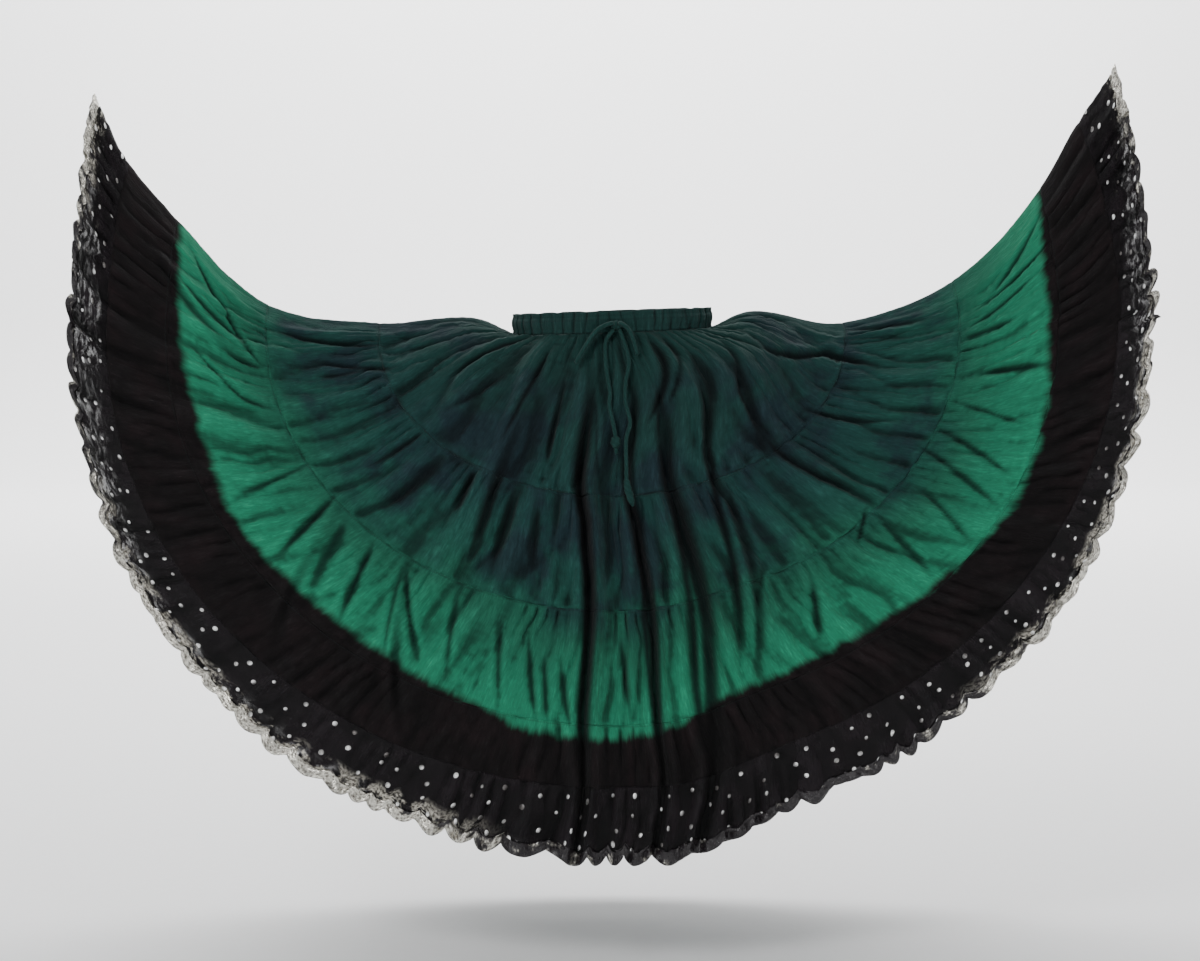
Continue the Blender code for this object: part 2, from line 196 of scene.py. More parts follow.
CREASES = (
    crease("DEEP", (0.417, 0.078), (0.440, 0.207), (0.467, 0.333), (0.467, 0.522), (0.471, 0.747), (0.477, 0.891)),
    crease("DEEP", (0.501, 0.093), (0.515, 0.237), (0.528, 0.333), (0.513, 0.498), (0.514, 0.669), (0.511, 0.816)),
    crease("DEEP", (0.548, 0.150), (0.569, 0.210), (0.581, 0.297), (0.557, 0.444), (0.544, 0.615), (0.532, 0.891)),
    crease("STRONG", (0.623, 0.114), (0.638, 0.267), (0.595, 0.489), (0.573, 0.642)),
    crease("STRONG", (0.065, 0.498), (0.030, 0.570), (0.007, 0.657)),
    crease("PLAIN", (0.062, 0.504), (0.045, 0.558), (0.035, 0.675)),
    crease("PLAIN", (0.112, 0.495), (0.104, 0.549), (0.075, 0.639)),
    crease("THIN", (0.068, 0.498), (0.067, 0.558)),
    crease("PLAIN", (0.173, 0.477), (0.192, 0.633)),
    crease("STRONG", (0.214, 0.480), (0.245, 0.642)),
    crease("WIDE", (0.239, 0.492), (0.278, 0.648)),
    crease("STRONG", (0.272, 0.495), (0.306, 0.654)),
    crease("PLAIN", (0.306, 0.504), (0.343, 0.663)),
    crease("STRONG", (0.308, 0.501), (0.364, 0.648)),
    crease("PLAIN", (0.358, 0.504), (0.383, 0.651)),
    crease("PLAIN", (0.399, 0.522), (0.419, 0.663)),
    crease("WIDE", (0.265, 0.297), (0.254, 0.438)),
    crease("STRONG", (0.314, 0.291), (0.319, 0.378)),
    crease("STRONG", (0.375, 0.300), (0.375, 0.438)),
    crease("PLAIN", (0.409, 0.312), (0.413, 0.432)),
    crease("PLAIN", (0.218, 0.288), (0.207, 0.405)),
    crease("PLAIN", (0.265, 0.129), (0.218, 0.240)),
    crease("STRONG", (0.322, 0.069), (0.329, 0.246)),
    crease("PLAIN", (0.386, 0.162), (0.403, 0.252)),
    crease("STRONG", (0.201, 0.036), (0.178, 0.174)),
    crease("PLAIN", (0.083, 0.321), (0.077, 0.405)),
    crease("PLAIN", (0.043, 0.285), (0.022, 0.456)),
    crease("PLAIN", (0.095, 0.261), (0.057, 0.399)),
    crease("THIN", (0.379, 0.120), (0.403, 0.246)),
    crease("THIN", (0.434, 0.126), (0.482, 0.270)),
    crease("STRONG", (0.597, 0.042), (0.529, 0.186)),
    crease("PLAIN", (0.639, 0.042), (0.553, 0.168)),
    crease("WIDE", (0.648, 0.081), (0.631, 0.243)),
    crease("PLAIN", (0.644, 0.321), (0.628, 0.441)),
    crease("PLAIN", (0.627, 0.459), (0.606, 0.528)),
    crease("WIDE", (0.707, 0.093), (0.722, 0.201), (0.721, 0.318)),
    crease("PLAIN", (0.773, 0.057), (0.700, 0.165), (0.737, 0.252), (0.748, 0.330)),
    crease("PLAIN", (0.423, 0.534), (0.445, 0.690)),
    crease("PLAIN", (0.440, 0.576), (0.451, 0.687)),
    crease("PLAIN", (0.451, 0.573), (0.466, 0.702)),
    crease("PLAIN", (0.494, 0.534), (0.500, 0.666)),
    crease("STRONG", (0.728, 0.234), (0.738, 0.324), (0.750, 0.444)),
    crease("STRONG", (0.654, 0.522), (0.631, 0.636)),
    crease("PLAIN", (0.740, 0.468), (0.704, 0.516)),
    crease("PLAIN", (0.736, 0.507), (0.715, 0.663)),
    crease("PLAIN", (0.778, 0.525), (0.749, 0.666)),
    crease("PLAIN", (0.823, 0.462), (0.779, 0.669)),
    crease("THIN", (0.875, 0.483), (0.839, 0.663)),
    crease("PLAIN", (0.845, 0.480), (0.802, 0.663)),
    crease("STRONG", (0.897, 0.537), (0.884, 0.666)),
    crease("PLAIN", (0.939, 0.486), (0.932, 0.597)),
    crease("THIN", (0.960, 0.510), (0.965, 0.672)),
    crease("THIN", (0.948, 0.505), (0.953, 0.640)),
    crease("PLAIN", (0.966, 0.552), (0.987, 0.681)),
    crease("PLAIN", (0.818, 0.261), (0.848, 0.420)),
    crease("STRONG", (0.832, 0.129), (0.938, 0.258), (0.921, 0.366)),
    crease("PLAIN", (0.985, 0.294), (0.975, 0.432)),
)
HEM_LOBES = 142  # ruffled lobes round the hem
BACK_SHIFTS = (0.012, -0.017, 0.021, -0.008, 0.004)
BACK_DROPS = (0.010, -0.006, 0.004)

# Where the black dye begins: (share, length down the cloth)
DYE_EDGE = (
    (0.000, 0.679), (0.011, 0.675), (0.051, 0.666), (0.134, 0.645), (0.211, 0.663), (0.274, 0.654),
    (0.343, 0.660), (0.410, 0.681), (0.437, 0.705), (0.482, 0.711), (0.529, 0.696), (0.549, 0.675),
    (0.610, 0.666), (0.670, 0.666), (0.733, 0.684), (0.781, 0.699), (0.826, 0.690), (0.893, 0.669),
    (0.958, 0.663), (1.000, 0.681),
)

# How brightly the hem foil has stayed, round the front and the back: (share, brightness)
FOIL_SHINE = (
    (0.00, 0.85), (0.03, 0.75), (0.07, 0.25), (0.13, 0.20), (0.19, 0.55), (0.24, 0.90), (0.33, 0.95),
    (0.40, 0.80), (0.45, 0.30), (0.52, 0.10), (0.60, 0.12), (0.66, 0.35), (0.71, 0.75), (0.77, 0.95),
    (0.84, 0.90), (0.89, 0.50), (0.93, 0.20), (0.97, 0.45), (1.00, 0.90),
)


# How far down the cloth the ruffle lies on the black cloth behind it, before light shows through it
RUFFLE_OPEN = (
    (0.00, 0.800), (0.10, 0.800), (0.17, 0.820), (0.24, 0.850), (0.40, 0.862), (0.46, 0.880),
    (0.60, 0.884), (0.70, 0.872), (0.84, 0.850), (0.90, 0.815), (1.00, 0.800),
)


class RoundNoise:
    """Seeded smooth noise that closes round the skirt."""

    def __init__(self, seed: int) -> None:
        """Starts a fixed stream of numbers.

        Args:
            seed: picks the stream.
        """
        self.seed = seed

    def field(self, way: Array, length: Array, cells: int, cell_length: float, layer: int = 0) -> Array:
        """Noise from -1 to 1.

        Args:
            way: place round the ring, as a share of a whole turn.
            length: place down the cloth, in metres.
            cells: how many cells go round.
            cell_length: length of a cell down the cloth, in metres.
            layer: picks another field of the same stream.

        Returns:
            One value for each place.
        """
        table = np.random.default_rng([self.seed, layer]).uniform(-1, 1, (int(1.4 / cell_length) + 4, cells))
        x = way * cells
        y = np.clip(length / cell_length, 0.0, len(table) - 2.001)
        col, row = np.floor(x).astype(int), np.floor(y).astype(int)
        fx, fy = smooth_step(x - col), smooth_step(y - row)
        left, right = col % cells, (col + 1) % cells
        top = table[row, left] * (1 - fx) + table[row, right] * fx
        foot = table[row + 1, left] * (1 - fx) + table[row + 1, right] * fx
        return top * (1 - fy) + foot * fy

    def gathers(self, way: Array, length: Array, count: int, reach: float, layer: int = 0) -> Array:
        """Uneven gathers: broad soft crests between narrow troughs, which wander and come and go.

        Args:
            way: place round the ring, as a share of a whole turn.
            length: place down the cloth, in metres.
            count: how many gathers go round.
            reach: how far down the cloth one keeps its depth, in metres.
            layer: picks another set.

        Returns:
            Height of the cloth, about 0.4 on the crests and down to about -1 in the troughs.
        """
        drift = 1.9 * self.field(way, length, max(count // 3, 6), 0.7 * reach, layer + 1)
        drift += 3.2 * self.field(way, length, 13, 0.17, layer + 2)
        trough = np.exp(-((np.sin(np.pi * count * way + drift / 2) / 0.40) ** 2))
        size = np.clip(0.62 + 0.85 * self.field(way, length, max(count // 2, 6), reach, layer + 3), 0.08, 1.5)
        return (0.26 - trough) * size


@dataclass
class SkirtForm:
    """The skirt's smooth form and its large folds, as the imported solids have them."""

    rings: tuple[SeamRing, ...] = (
        SeamRing(0.035, 0.163, 0.000, -0.0175, 0.163, 0.000, 0.163, 0.000, 0.112, 0.112, 1.00, 0.000),
        SeamRing(0.085, 0.205, 0.050, -0.0120, 0.204, 0.010, 0.204, 0.022, 0.128, 0.130, 0.92, 0.000),
        SeamRing(0.290, 0.385, 0.262, -0.0160, 0.384, 0.013, 0.381, 0.013, 0.165, 0.180, 0.80, 0.005),
        SeamRing(0.485, 0.568, 0.460, 0.0040, 0.567, 0.023, 0.560, 0.060, 0.212, 0.230, 0.74, 0.018),
        SeamRing(0.685, 0.722, 0.636, 0.0040, 0.716, 0.162, 0.704, 0.212, 0.250, 0.268, 0.72, 0.032),
        SeamRing(0.795, 0.816, 0.732, 0.0040, 0.796, 0.255, 0.766, 0.322, 0.270, 0.286, 0.72, 0.036),
        SeamRing(0.887, 0.863, 0.823, 0.0020, 0.843, 0.350, 0.815, 0.403, 0.284, 0.300, 0.74, 0.040),
        SeamRing(0.905, 0.871, 0.841, 0.0020, 0.852, 0.370, 0.824, 0.420, 0.287, 0.303, 0.75, 0.041),
    )
    gathers: tuple[Gather, ...] = (
        Gather(24, 0.140, 0.0, 0.030, 0.035, 0.110, 0.290, 0.400),
        Gather(36, 0.135, 0.4, 0.270, 0.290, 0.360, 0.485, 0.560),
        Gather(54, 0.150, 1.1, 0.460, 0.485, 0.560, 0.685, 0.795),
        Gather(72, 0.250, 1.6, 0.690, 0.795, 0.905, 0.990, 1.100),
    )
    drapes: tuple[Drape, ...] = (
        Drape(Half.FRONT, 0.415, 0.467, 0.476, 0.0150, 0.036, 0.05, 1.20),
        Drape(Half.FRONT, 0.496, 0.524, 0.511, 0.0130, 0.028, 0.12, 1.20),
        Drape(Half.FRONT, 0.550, 0.578, 0.530, 0.0210, 0.030, 0.12, 1.20),
        Drape(Half.FRONT, 0.612, 0.640, 0.540, 0.0130, 0.015, 0.10, 0.70),
        Drape(Half.FRONT, 0.250, 0.270, 0.410, 0.0150, 0.018, 0.47, 0.80),
        Drape(Half.FRONT, 0.180, 0.190, 0.330, 0.0150, 0.015, 0.46, 0.78),
        Drape(Half.FRONT, 0.725, 0.742, 0.760, 0.0150, 0.015, 0.18, 0.52),
        Drape(Half.FRONT, 0.330, 0.350, 0.370, 0.0130, 0.014, 0.05, 0.50),
        Drape(Half.FRONT, 0.110, 0.105, 0.000, 0.0160, 0.013, 0.46, 0.74),
        Drape(Half.BACK, 0.432, 0.472, 0.478, 0.0150, 0.034, 0.05, 1.20),
        Drape(Half.BACK, 0.560, 0.536, 0.524, 0.0150, 0.034, 0.05, 1.20),
        Drape(Half.BACK, 0.350, 0.385, 0.430, 0.0140, 0.018, 0.10, 0.80),
        Drape(Half.BACK, 0.660, 0.620, 0.570, 0.0140, 0.018, 0.10, 0.80),
        Drape(Half.BACK, 0.230, 0.260, 0.300, 0.0150, 0.014, 0.40, 0.80),
    )
    crowding: float = 0.42
    uneven: tuple[tuple[float, float], ...] = ((7.0, 0.0050), (11.0, 0.0032), (19.0, 0.0014))
    ridge_calm: float = 0.030
    most_fold: float = 0.015
    seam_share: float = 0.45
    foot_share: float = 0.60
    drape_middle: float = 0.33
    band_tilt: float = 0.035

    def round_share(self, u: Array) -> tuple[Array, Array]:
        """Place on the half for a place round the ring.

        Args:
            u: 0 to 0.5 along the front from the left point, then back behind.

        Returns:
            The share from the left point to the right one, and 1 in front or -1 behind.
        """
        turn = 2 * np.pi * (u % 1.0)
        front = turn <= np.pi
        along = np.where(front, turn, 2 * np.pi - turn)
        share = along / np.pi - self.crowding / (4 * np.pi) * np.sin(4 * along)
        for waves, size in self.uneven:
            share = share + size * np.sin(2 * waves * along) / 2
        return share, np.where(front, 1.0, -1.0)

    def surface(self, u: Array, length: Array) -> Array:
        """Points of the smooth form.

        Args:
            u: places round the ring.
            length: places down the cloth, as many as u.

        Returns:
            A point for each.
        """
        share, side = self.round_share(u)
        rings = np.array([ring.points(share, side, self.band_tilt) for ring in self.rings])
        stations = np.array([ring.length for ring in self.rings])
        steps = np.diff(stations)[:, None, None]
        slopes = np.diff(rings, axis=0) / steps
        inner = (slopes[:-1] * steps[1:] + slopes[1:] * steps[:-1]) / (steps[:-1] + steps[1:])
        tangents = np.concatenate([slopes[:1], inner, slopes[-1:]])
        k = np.clip(np.searchsorted(stations, length) - 1, 0, len(stations) - 2)
        at = np.arange(len(u))
        step = (stations[k + 1] - stations[k])[:, None]
        v = (length - stations[k])[:, None] / step
        return (
            (2 * v**3 - 3 * v**2 + 1) * rings[k, at]
            + (v**3 - 2 * v**2 + v) * step * tangents[k, at]
            + (3 * v**2 - 2 * v**3) * rings[k + 1, at]
            + (v**3 - v**2) * step * tangents[k + 1, at]
        )

    def directions(self, u: Array, length: Array) -> tuple[Array, Array, Array]:
        """Directions of the smooth form.

        Args:
            u: places round the ring.
            length: places down the cloth.

        Returns:
            The tangent round the ring per unit of u, the unit tangent down the cloth and the outward normal.
        """
        small, short = 2e-4, 1e-3
        across = (self.surface(u + small, length) - self.surface(u - small, length)) / (2 * small)
        down = unit(self.surface(u, length + short) - self.surface(u, length - short))
        return across, down, unit(np.cross(down, across))

    def large_folds(
        self, u: Array, length: Array, spacing: Array, evenness: Array, drift: Array
    ) -> tuple[Array, Array]:
        """How far the broad gathers and the deep drapes move the cloth, and how dark the painted shade in the drapes
        is.

        Args:
            u: places round the ring.
            length: places down the cloth.
            spacing: metres round the ring per unit of u.
            evenness: how full each gather is there, as a share of the solid's.
            drift: how far each gather wanders, in radians.

        Returns:
            Metres outward (+) or inward (-), and the depth of shade from 0 to 1.
        """
        share, side = self.round_share(u)
        calm = np.clip(np.minimum(share, 1 - share) / self.ridge_calm, 0.25, 1.0)
        offset, shade = np.zeros(len(u)), np.zeros(len(u))
        for gather in self.gathers:
            lengths = [gather.starts, gather.seam, gather.fullest, gather.foot, gather.ends]
            strength = np.interp(length, lengths, [0.0, self.seam_share, 1.0, self.foot_share, 0.0])
            depth = np.minimum(gather.share * spacing / gather.folds, self.most_fold)
            phase = 2 * np.pi * gather.folds * u + gather.turn + drift
            offset -= strength * depth * calm * evenness * (np.cos(phase) - 0.25 * np.cos(2 * phase))
        before, _ = self.round_share(u - 1e-4)
        after, _ = self.round_share(u + 1e-4)
        half_round = spacing / 2 / np.clip(np.abs(after - before) / 4e-4, 0.2, None)
        for drape in self.drapes:
            strength = np.interp(
                length, [drape.starts, drape.starts + 0.25, drape.ends - 0.12, drape.ends], [0.0, 1.0, 1.0, 0.0]
            )
            place = np.interp(
                length,
                [self.rings[0].length, self.drape_middle, self.rings[-1].length],
                [drape.top, drape.middle, drape.foot],
            )
            off = (share - place) * half_round / drape.half_width
            here = side == drape.half.value
            section = np.exp(-((off / 1.25) ** 2)) - 1.12 * np.exp(-((off / 0.62) ** 2))
            offset += np.where(here, drape.depth * strength * section, 0.0)
            # Painted shade in each drape's trough, darker for a deeper drape; it goes to the crease attribute.
            edged = np.where(off < 0, off / 0.62, off / 0.90)
            deep = min(1.0, 0.35 + drape.depth / 0.040)
            shade = np.maximum(shade, np.where(here, deep * strength * np.exp(-np.abs(edged) ** 3), 0.0))
        return offset, shade


FORM = SkirtForm()


@dataclass
class Finish:
    """What every finish is made with: nodes added to a material or a group by short calls."""

    name: str

    def start(self) -> bpy.types.Material:
        """A new material, empty but for its output."""
        made = bpy.data.materials.new(self.name)
        made.use_nodes = True
        made.node_tree.nodes.remove(made.node_tree.nodes["Principled BSDF"])
        return made


def feed(tree: bpy.types.NodeTree, socket: bpy.types.NodeSocket, value: Value) -> None:
    """Links or sets one input.

    Args:
        tree: the tree that both nodes are in.
        socket: the input.
        value: another node's output, or the value itself.
    """
    if isinstance(value, bpy.types.NodeSocket):
        tree.links.new(value, socket)
    elif value is not None:
        socket.default_value = value


def node(tree: bpy.types.NodeTree, kind: str, inputs: Optional[dict] = None, **settings: Any) -> bpy.types.Node:
    """Adds a node.

    Args:
        tree: the tree it goes into.
        kind: the node's type, without "ShaderNode".
        inputs: value or link for each named or numbered input.
        settings: the node's own settings.

    Returns:
        The node.
    """
    made = tree.nodes.new("ShaderNode" + kind)
    for key, value in settings.items():
        setattr(made, key, value)
    for key, value in (inputs or {}).items():
        feed(tree, made.inputs[key], value)
    return made


def maths(tree: bpy.types.NodeTree, way: str, first: Value, second: Value = None, third: Value = None) -> Any:
    """The output of a Math node.

    Args:
        tree: the tree it goes into.
        way: its operation.
        first: its first value.
        second: its second value.
        third: its third value.

    Returns:
        The output.
    """
    return node(tree, "Math", {0: first, 1: second, 2: third}, operation=way).outputs[0]


def mixed(tree: bpy.types.NodeTree, share: Value, first: Value, second: Value, way: str = "MIX") -> Any:
    """The output of a colour Mix node.

    Args:
        tree: the tree it goes into.
        share: how much of the second colour.
        first: the first colour.
        second: the second colour.
        way: how they blend.

    Returns:
        The mixed colour.
    """
    made = node(tree, "Mix", data_type="RGBA", blend_type=way, clamp_factor=True)
    feed(tree, made.inputs[0], share)
    feed(tree, made.inputs[6], first)
    feed(tree, made.inputs[7], second)
    return made.outputs[2]


def between(tree: bpy.types.NodeTree, value: Value, low: float, high: float, to: tuple = (0.0, 1.0)) -> Any:
    """A smooth rise of a value from one number to another.

    Args:
        tree: the tree it goes into.
        value: what rises.
        low: where the rise starts.
        high: where it ends.
        to: the results at its start and end.

    Returns:
        The output.
    """
    inputs = {"Value": value, "From Min": low, "From Max": high, "To Min": to[0], "To Max": to[1]}
    return node(tree, "MapRange", inputs, interpolation_type="SMOOTHSTEP").outputs[0]


def noise(tree: bpy.types.NodeTree, vector: Value, scale: float, detail: float = 2.0, rough: float = 0.5) -> Any:
    """The value of a noise texture, 0 to 1.

    Args:
        tree: the tree it goes into.
        vector: its coordinates.
        scale: cells to a metre.
        detail: how many finer layers.
        rough: how strong the finer layers are.

    Returns:
        The output.
    """
    return node(
        tree, "TexNoise", {"Vector": vector, "Scale": scale, "Detail": detail, "Roughness": rough}
    ).outputs[0]


def stretched(tree: bpy.types.NodeTree, vector: Value, scale: Point) -> Any:
    """Coordinates multiplied by (round, down, through).

    Args:
        tree: the tree it goes into.
        vector: the coordinates.
        scale: the three factors.

    Returns:
        The scaled coordinates.
    """
    return node(tree, "VectorMath", {0: vector, 1: scale}, operation="MULTIPLY").outputs[0]


def cloth_map(tree: bpy.types.NodeTree) -> Any:
    """Coordinates in metres on the flat cloth: x round the skirt and y down it."""
    made = node(tree, "UVMap", uv_map="cloth").outputs[0]
    return stretched(tree, made, (CLOTH_SCALE, CLOTH_SCALE, 1.0))


def measured(tree: bpy.types.NodeTree, name: str) -> Any:
    """The value that a mesh attribute gives each point."""
    return node(tree, "Attribute", attribute_name=name).outputs["Fac"]


def srgb(red: int, green: int, blue: int) -> tuple[float, float, float, float]:
    """A linear colour from screen values of 0 to 255."""
    values = [c / 255 for c in (red, green, blue)]
    return (*[c / 12.92 if c <= 0.04045 else ((c + 0.055) / 1.055) ** 2.4 for c in values], 1.0)


class Groups:
    """The effects that several finishes share, each built once as a node group."""

    made: dict[str, bpy.types.NodeTree] = {}

    @classmethod
    def begin(cls, name: str, inputs: dict[str, tuple], outputs: dict[str, str]) -> tuple[Any, Any, Any]:
        """An empty group with its sockets.

        Args:
            name: the group's name.
            inputs: for each input, its type and its usual value.
            outputs: for each output, its type.

        Returns:
            The tree, the outputs of its input node, and its output node.
        """
        tree = bpy.data.node_groups.new(name, "ShaderNodeTree")
        for label, (kind, usual) in inputs.items():
            socket = tree.interface.new_socket(label, in_out="INPUT", socket_type="NodeSocket" + kind)
            if usual is not None:
                socket.default_value = usual
        for label, kind in outputs.items():
            tree.interface.new_socket(label, in_out="OUTPUT", socket_type="NodeSocket" + kind)
        cls.made[name] = tree
        return tree, tree.nodes.new("NodeGroupInput").outputs, tree.nodes.new("NodeGroupOutput").inputs

    @classmethod
    def place(cls, tree: bpy.types.NodeTree, name: str, **values: Value) -> Any:
        """Puts a group into a material.

        Args:
            tree: the material's tree.
            name: the group's name.
            values: its inputs, with _ for a space.

        Returns:
            The group node's outputs.
        """
        if name not in cls.made:
            getattr(cls, name)()
        made = tree.nodes.new("ShaderNodeGroup")
        made.node_tree = cls.made[name]
        for key, value in values.items():
            feed(tree, made.inputs[key.replace("_", " ")], value)
        return made.outputs

    @classmethod
    def weave(cls) -> None:
        """Plain weave: threads both ways, thick and thin, with crinkle between the folds; its tone also carries the
        crinkle, as painted shade in the crinkle creases.
        """
        tree, given, out = cls.begin(
            "weave",
            {"Cloth": ("Vector", None), "Threads": ("Float", 1500.0), "Crinkle": ("Float", 1.0)},
            {"Height": "Float", "Tone": "Float"},
        )
        bent = noise(tree, given["Cloth"], 90.0, 2.0)
        parts = node(tree, "SeparateXYZ", {0: given["Cloth"]}).outputs
        sways = maths(tree, "MULTIPLY", bent, 0.004)
        warp = maths(tree, "SINE", maths(tree, "MULTIPLY", maths(tree, "ADD", parts[0], sways), given["Threads"]))
        weft = maths(tree, "SINE", maths(tree, "MULTIPLY", maths(tree, "ADD", parts[1], sways), given["Threads"]))
        threads = maths(tree, "MULTIPLY", warp, weft)
        slub = noise(tree, stretched(tree, given["Cloth"], (900.0, 40.0, 1.0)), 1.0, 2.0)
        long_crinkle = noise(tree, stretched(tree, given["Cloth"], (160.0, 26.0, 1.0)), 1.0, 4.0, 0.62)
        small_crinkle = noise(tree, stretched(tree, given["Cloth"], (330.0, 120.0, 1.0)), 1.0, 3.0, 0.6)
        ridged = maths(tree, "ABSOLUTE", maths(tree, "SUBTRACT", long_crinkle, 0.5))
        crinkle = maths(tree, "MULTIPLY_ADD", small_crinkle, 0.35, maths(tree, "MULTIPLY", ridged, 3.2))
        height = maths(tree, "MULTIPLY", crinkle, given["Crinkle"])
        height = maths(tree, "MULTIPLY_ADD", threads, 0.05, height)
        height = maths(tree, "MULTIPLY_ADD", slub, 0.12, height)
        feed(tree, out["Height"], height)
        tone = maths(tree, "MULTIPLY_ADD", slub, 0.5, maths(tree, "MULTIPLY_ADD", threads, 0.06, 0.0))
        # The tone output is the slub and thread tone plus the crinkle height: painted shade in the crinkle creases and
        # paler crinkle ridges.
        feed(tree, out["Tone"], maths(tree, "MULTIPLY_ADD", crinkle, 0.45, tone))

    @classmethod
    def fold_shade_highlight_and_wear(cls) -> None:
        """Painted shade that darkens the dye in the hollows and the creases, and paler crests that are partly worn and
        partly painted highlight.
        """
        tree, given, out = cls.begin(
            "fold_shade_highlight_and_wear",
            {
                "Colour": ("Color", None),
                "Tone": ("Float", 0.5),
                "Deepen": ("Float", 0.45),
                "Wear": ("Float", 0.35),
            },
            {"Colour": "Color", "Crest": "Float"},
        )
        relief = measured(tree, "relief")
        # Painted shade: in the hollows the dye is darkened towards a shadow colour, by the given strength.
        hollow = between(tree, relief, 0.50, 0.02)
        deep = maths(tree, "MULTIPLY", hollow, given["Deepen"])
        shadow = mixed(tree, 1.0, given["Colour"], (0.06, 0.07, 0.09, 1), "MULTIPLY")
        dark = mixed(tree, deep, given["Colour"], shadow)
        # Paler crests: partly worn, partly painted highlight.
        crest = between(tree, relief, 0.55, 1.0)
        crest_rub_and_highlight = maths(tree, "MULTIPLY", maths(tree, "MULTIPLY", crest, given["Wear"]), given["Tone"])
        pale = mixed(tree, 1.0, dark, (0.004, 0.005, 0.005, 1), "ADD")
        worn = mixed(tree, crest_rub_and_highlight, dark, mixed(tree, 1.0, pale, (1.45, 1.45, 1.45, 1), "MULTIPLY"))
        # Painted shade in the deep drapes and the listed creases, from the crease attribute, almost to the shadow
        # colour.
        worn = mixed(tree, maths(tree, "MULTIPLY", measured(tree, "crease"), 0.97), worn, shadow)
        # The weave's tone, with its painted crinkle shade, makes the dye darker in the crinkle creases and paler
        # elsewhere.
        slub_and_crinkle_shade = between(tree, given["Tone"], 0.15, 1.05, (0.66, 1.30))
        grey = node(tree, "CombineColor", {0: slub_and_crinkle_shade, 1: slub_and_crinkle_shade, 2: slub_and_crinkle_shade}).outputs[0]
        feed(tree, out["Colour"], mixed(tree, 1.0, worn, grey, "MULTIPLY"))
        feed(tree, out["Crest"], crest)

    @classmethod
    def dip_dye(cls) -> None:
        """Dip dye from teal through green to emerald, with navy blotches, that bleeds into the black."""
        tree, given, out = cls.begin(
            "dip_dye",
            {"Cloth": ("Vector", None), "Bleed": ("Float", 0.006), "Blotches": ("Float", 1.0)},
            {"Colour": "Color", "Black": "Float"},
        )
        cloth = given["Cloth"]
        past = measured(tree, "past_dye")
        cloud = noise(tree, stretched(tree, cloth, (7.0, 5.0, 1.0)), 1.0, 3.0, 0.55)
        moved = maths(tree, "MULTIPLY_ADD", maths(tree, "SUBTRACT", cloud, 0.5), 0.14, past)
        at = between(tree, moved, -0.70, 0.0)
        at.node.interpolation_type = "LINEAR"
        ramp = node(tree, "ValToRGB", {0: at})
        stops = (
            (0.00, (22, 50, 48)), (0.10, (22, 55, 51)), (0.30, (22, 56, 52)), (0.52, (24, 60, 57)),
            (0.66, (26, 76, 65)), (0.76, (28, 95, 74)), (0.88, (32, 118, 89)), (1.00, (38, 134, 100)),
        )
        for place, colour in stops[1:-1]:
            ramp.color_ramp.elements.new(place)
        for element, (place, colour) in zip(ramp.color_ramp.elements, stops):
            element.position = place
            element.color = srgb(*colour)
        ramp.color_ramp.elements[-1].position = 1.0
        blot = noise(tree, stretched(tree, cloth, (9.0, 6.5, 1.0)), 1.0, 4.0, 0.6)
        window = maths(
            tree, "MULTIPLY", between(tree, past, -0.60, -0.50), between(tree, past, -0.14, -0.24)
        )
        blots = maths(tree, "MULTIPLY", between(tree, blot, 0.42, 0.60), window)
        blots = maths(tree, "MULTIPLY", blots, given["Blotches"])
        green = mixed(tree, maths(tree, "MULTIPLY", blots, 0.80), ramp.outputs[0], srgb(22, 37, 46))
        streaks = noise(tree, stretched(tree, cloth, (190.0, 16.0, 1.0)), 1.0, 3.0, 0.6)
        broad = noise(tree, stretched(tree, cloth, (34.0, 9.0, 1.0)), 1.0, 2.0)
        reach = maths(tree, "MULTIPLY", maths(tree, "SUBTRACT", streaks, 0.5), given["Bleed"])
        reach = maths(tree, "MULTIPLY_ADD", maths(tree, "SUBTRACT", broad, 0.5), 0.020, reach)
        black = between(tree, maths(tree, "MULTIPLY_ADD", reach, 1.6, past), -0.011, 0.009)
        rust = noise(tree, stretched(tree, cloth, (22.0, 12.0, 1.0)), 1.0, 3.0)
        ink = mixed(tree, between(tree, rust, 0.40, 0.72), srgb(14, 10, 11), srgb(26, 17, 19))
        feed(tree, out["Colour"], mixed(tree, black, green, ink))
        feed(tree, out["Black"], black)

    @classmethod
    def stitching(cls) -> None:
        """Two rows of machine stitches beside a seam, on the cloth that is gathered to it."""
        tree, given, out = cls.begin(
            "stitching",
            {"Cloth": ("Vector", None), "Seam": ("Float", 0.3), "Stitch": ("Float", 0.0034)},
            {"Mask": "Float", "Height": "Float"},
        )
        parts = node(tree, "SeparateXYZ", {0: given["Cloth"]}).outputs
        off = maths(tree, "SUBTRACT", parts[1], given["Seam"])
        row = maths(tree, "ABSOLUTE", maths(tree, "SUBTRACT", maths(tree, "ABSOLUTE", off), 0.0030))
        line = between(tree, row, 0.0010, 0.0003)
        pace = maths(tree, "FRACT", maths(tree, "DIVIDE", parts[0], given["Stitch"]))
        thread = maths(tree, "MULTIPLY", line, between(tree, pace, 0.30, 0.42))
        groove = between(tree, maths(tree, "ABSOLUTE", off), 0.0022, 0.0002)
        feed(tree, out["Mask"], thread)
        feed(tree, out["Height"], maths(tree, "SUBTRACT", thread, maths(tree, "MULTIPLY", groove, 2.0)))


def surface_shader(made: bpy.types.Material, inputs: dict[str, Value]) -> None:
    """Adds the Principled shader of a finish.

    Args:
        made: the material.
        inputs: its inputs by name.
    """
    tree = made.node_tree
    shader = node(tree, "BsdfPrincipled", inputs)
    tree.links.new(shader.outputs[0], tree.nodes["Material Output"].inputs["Surface"])


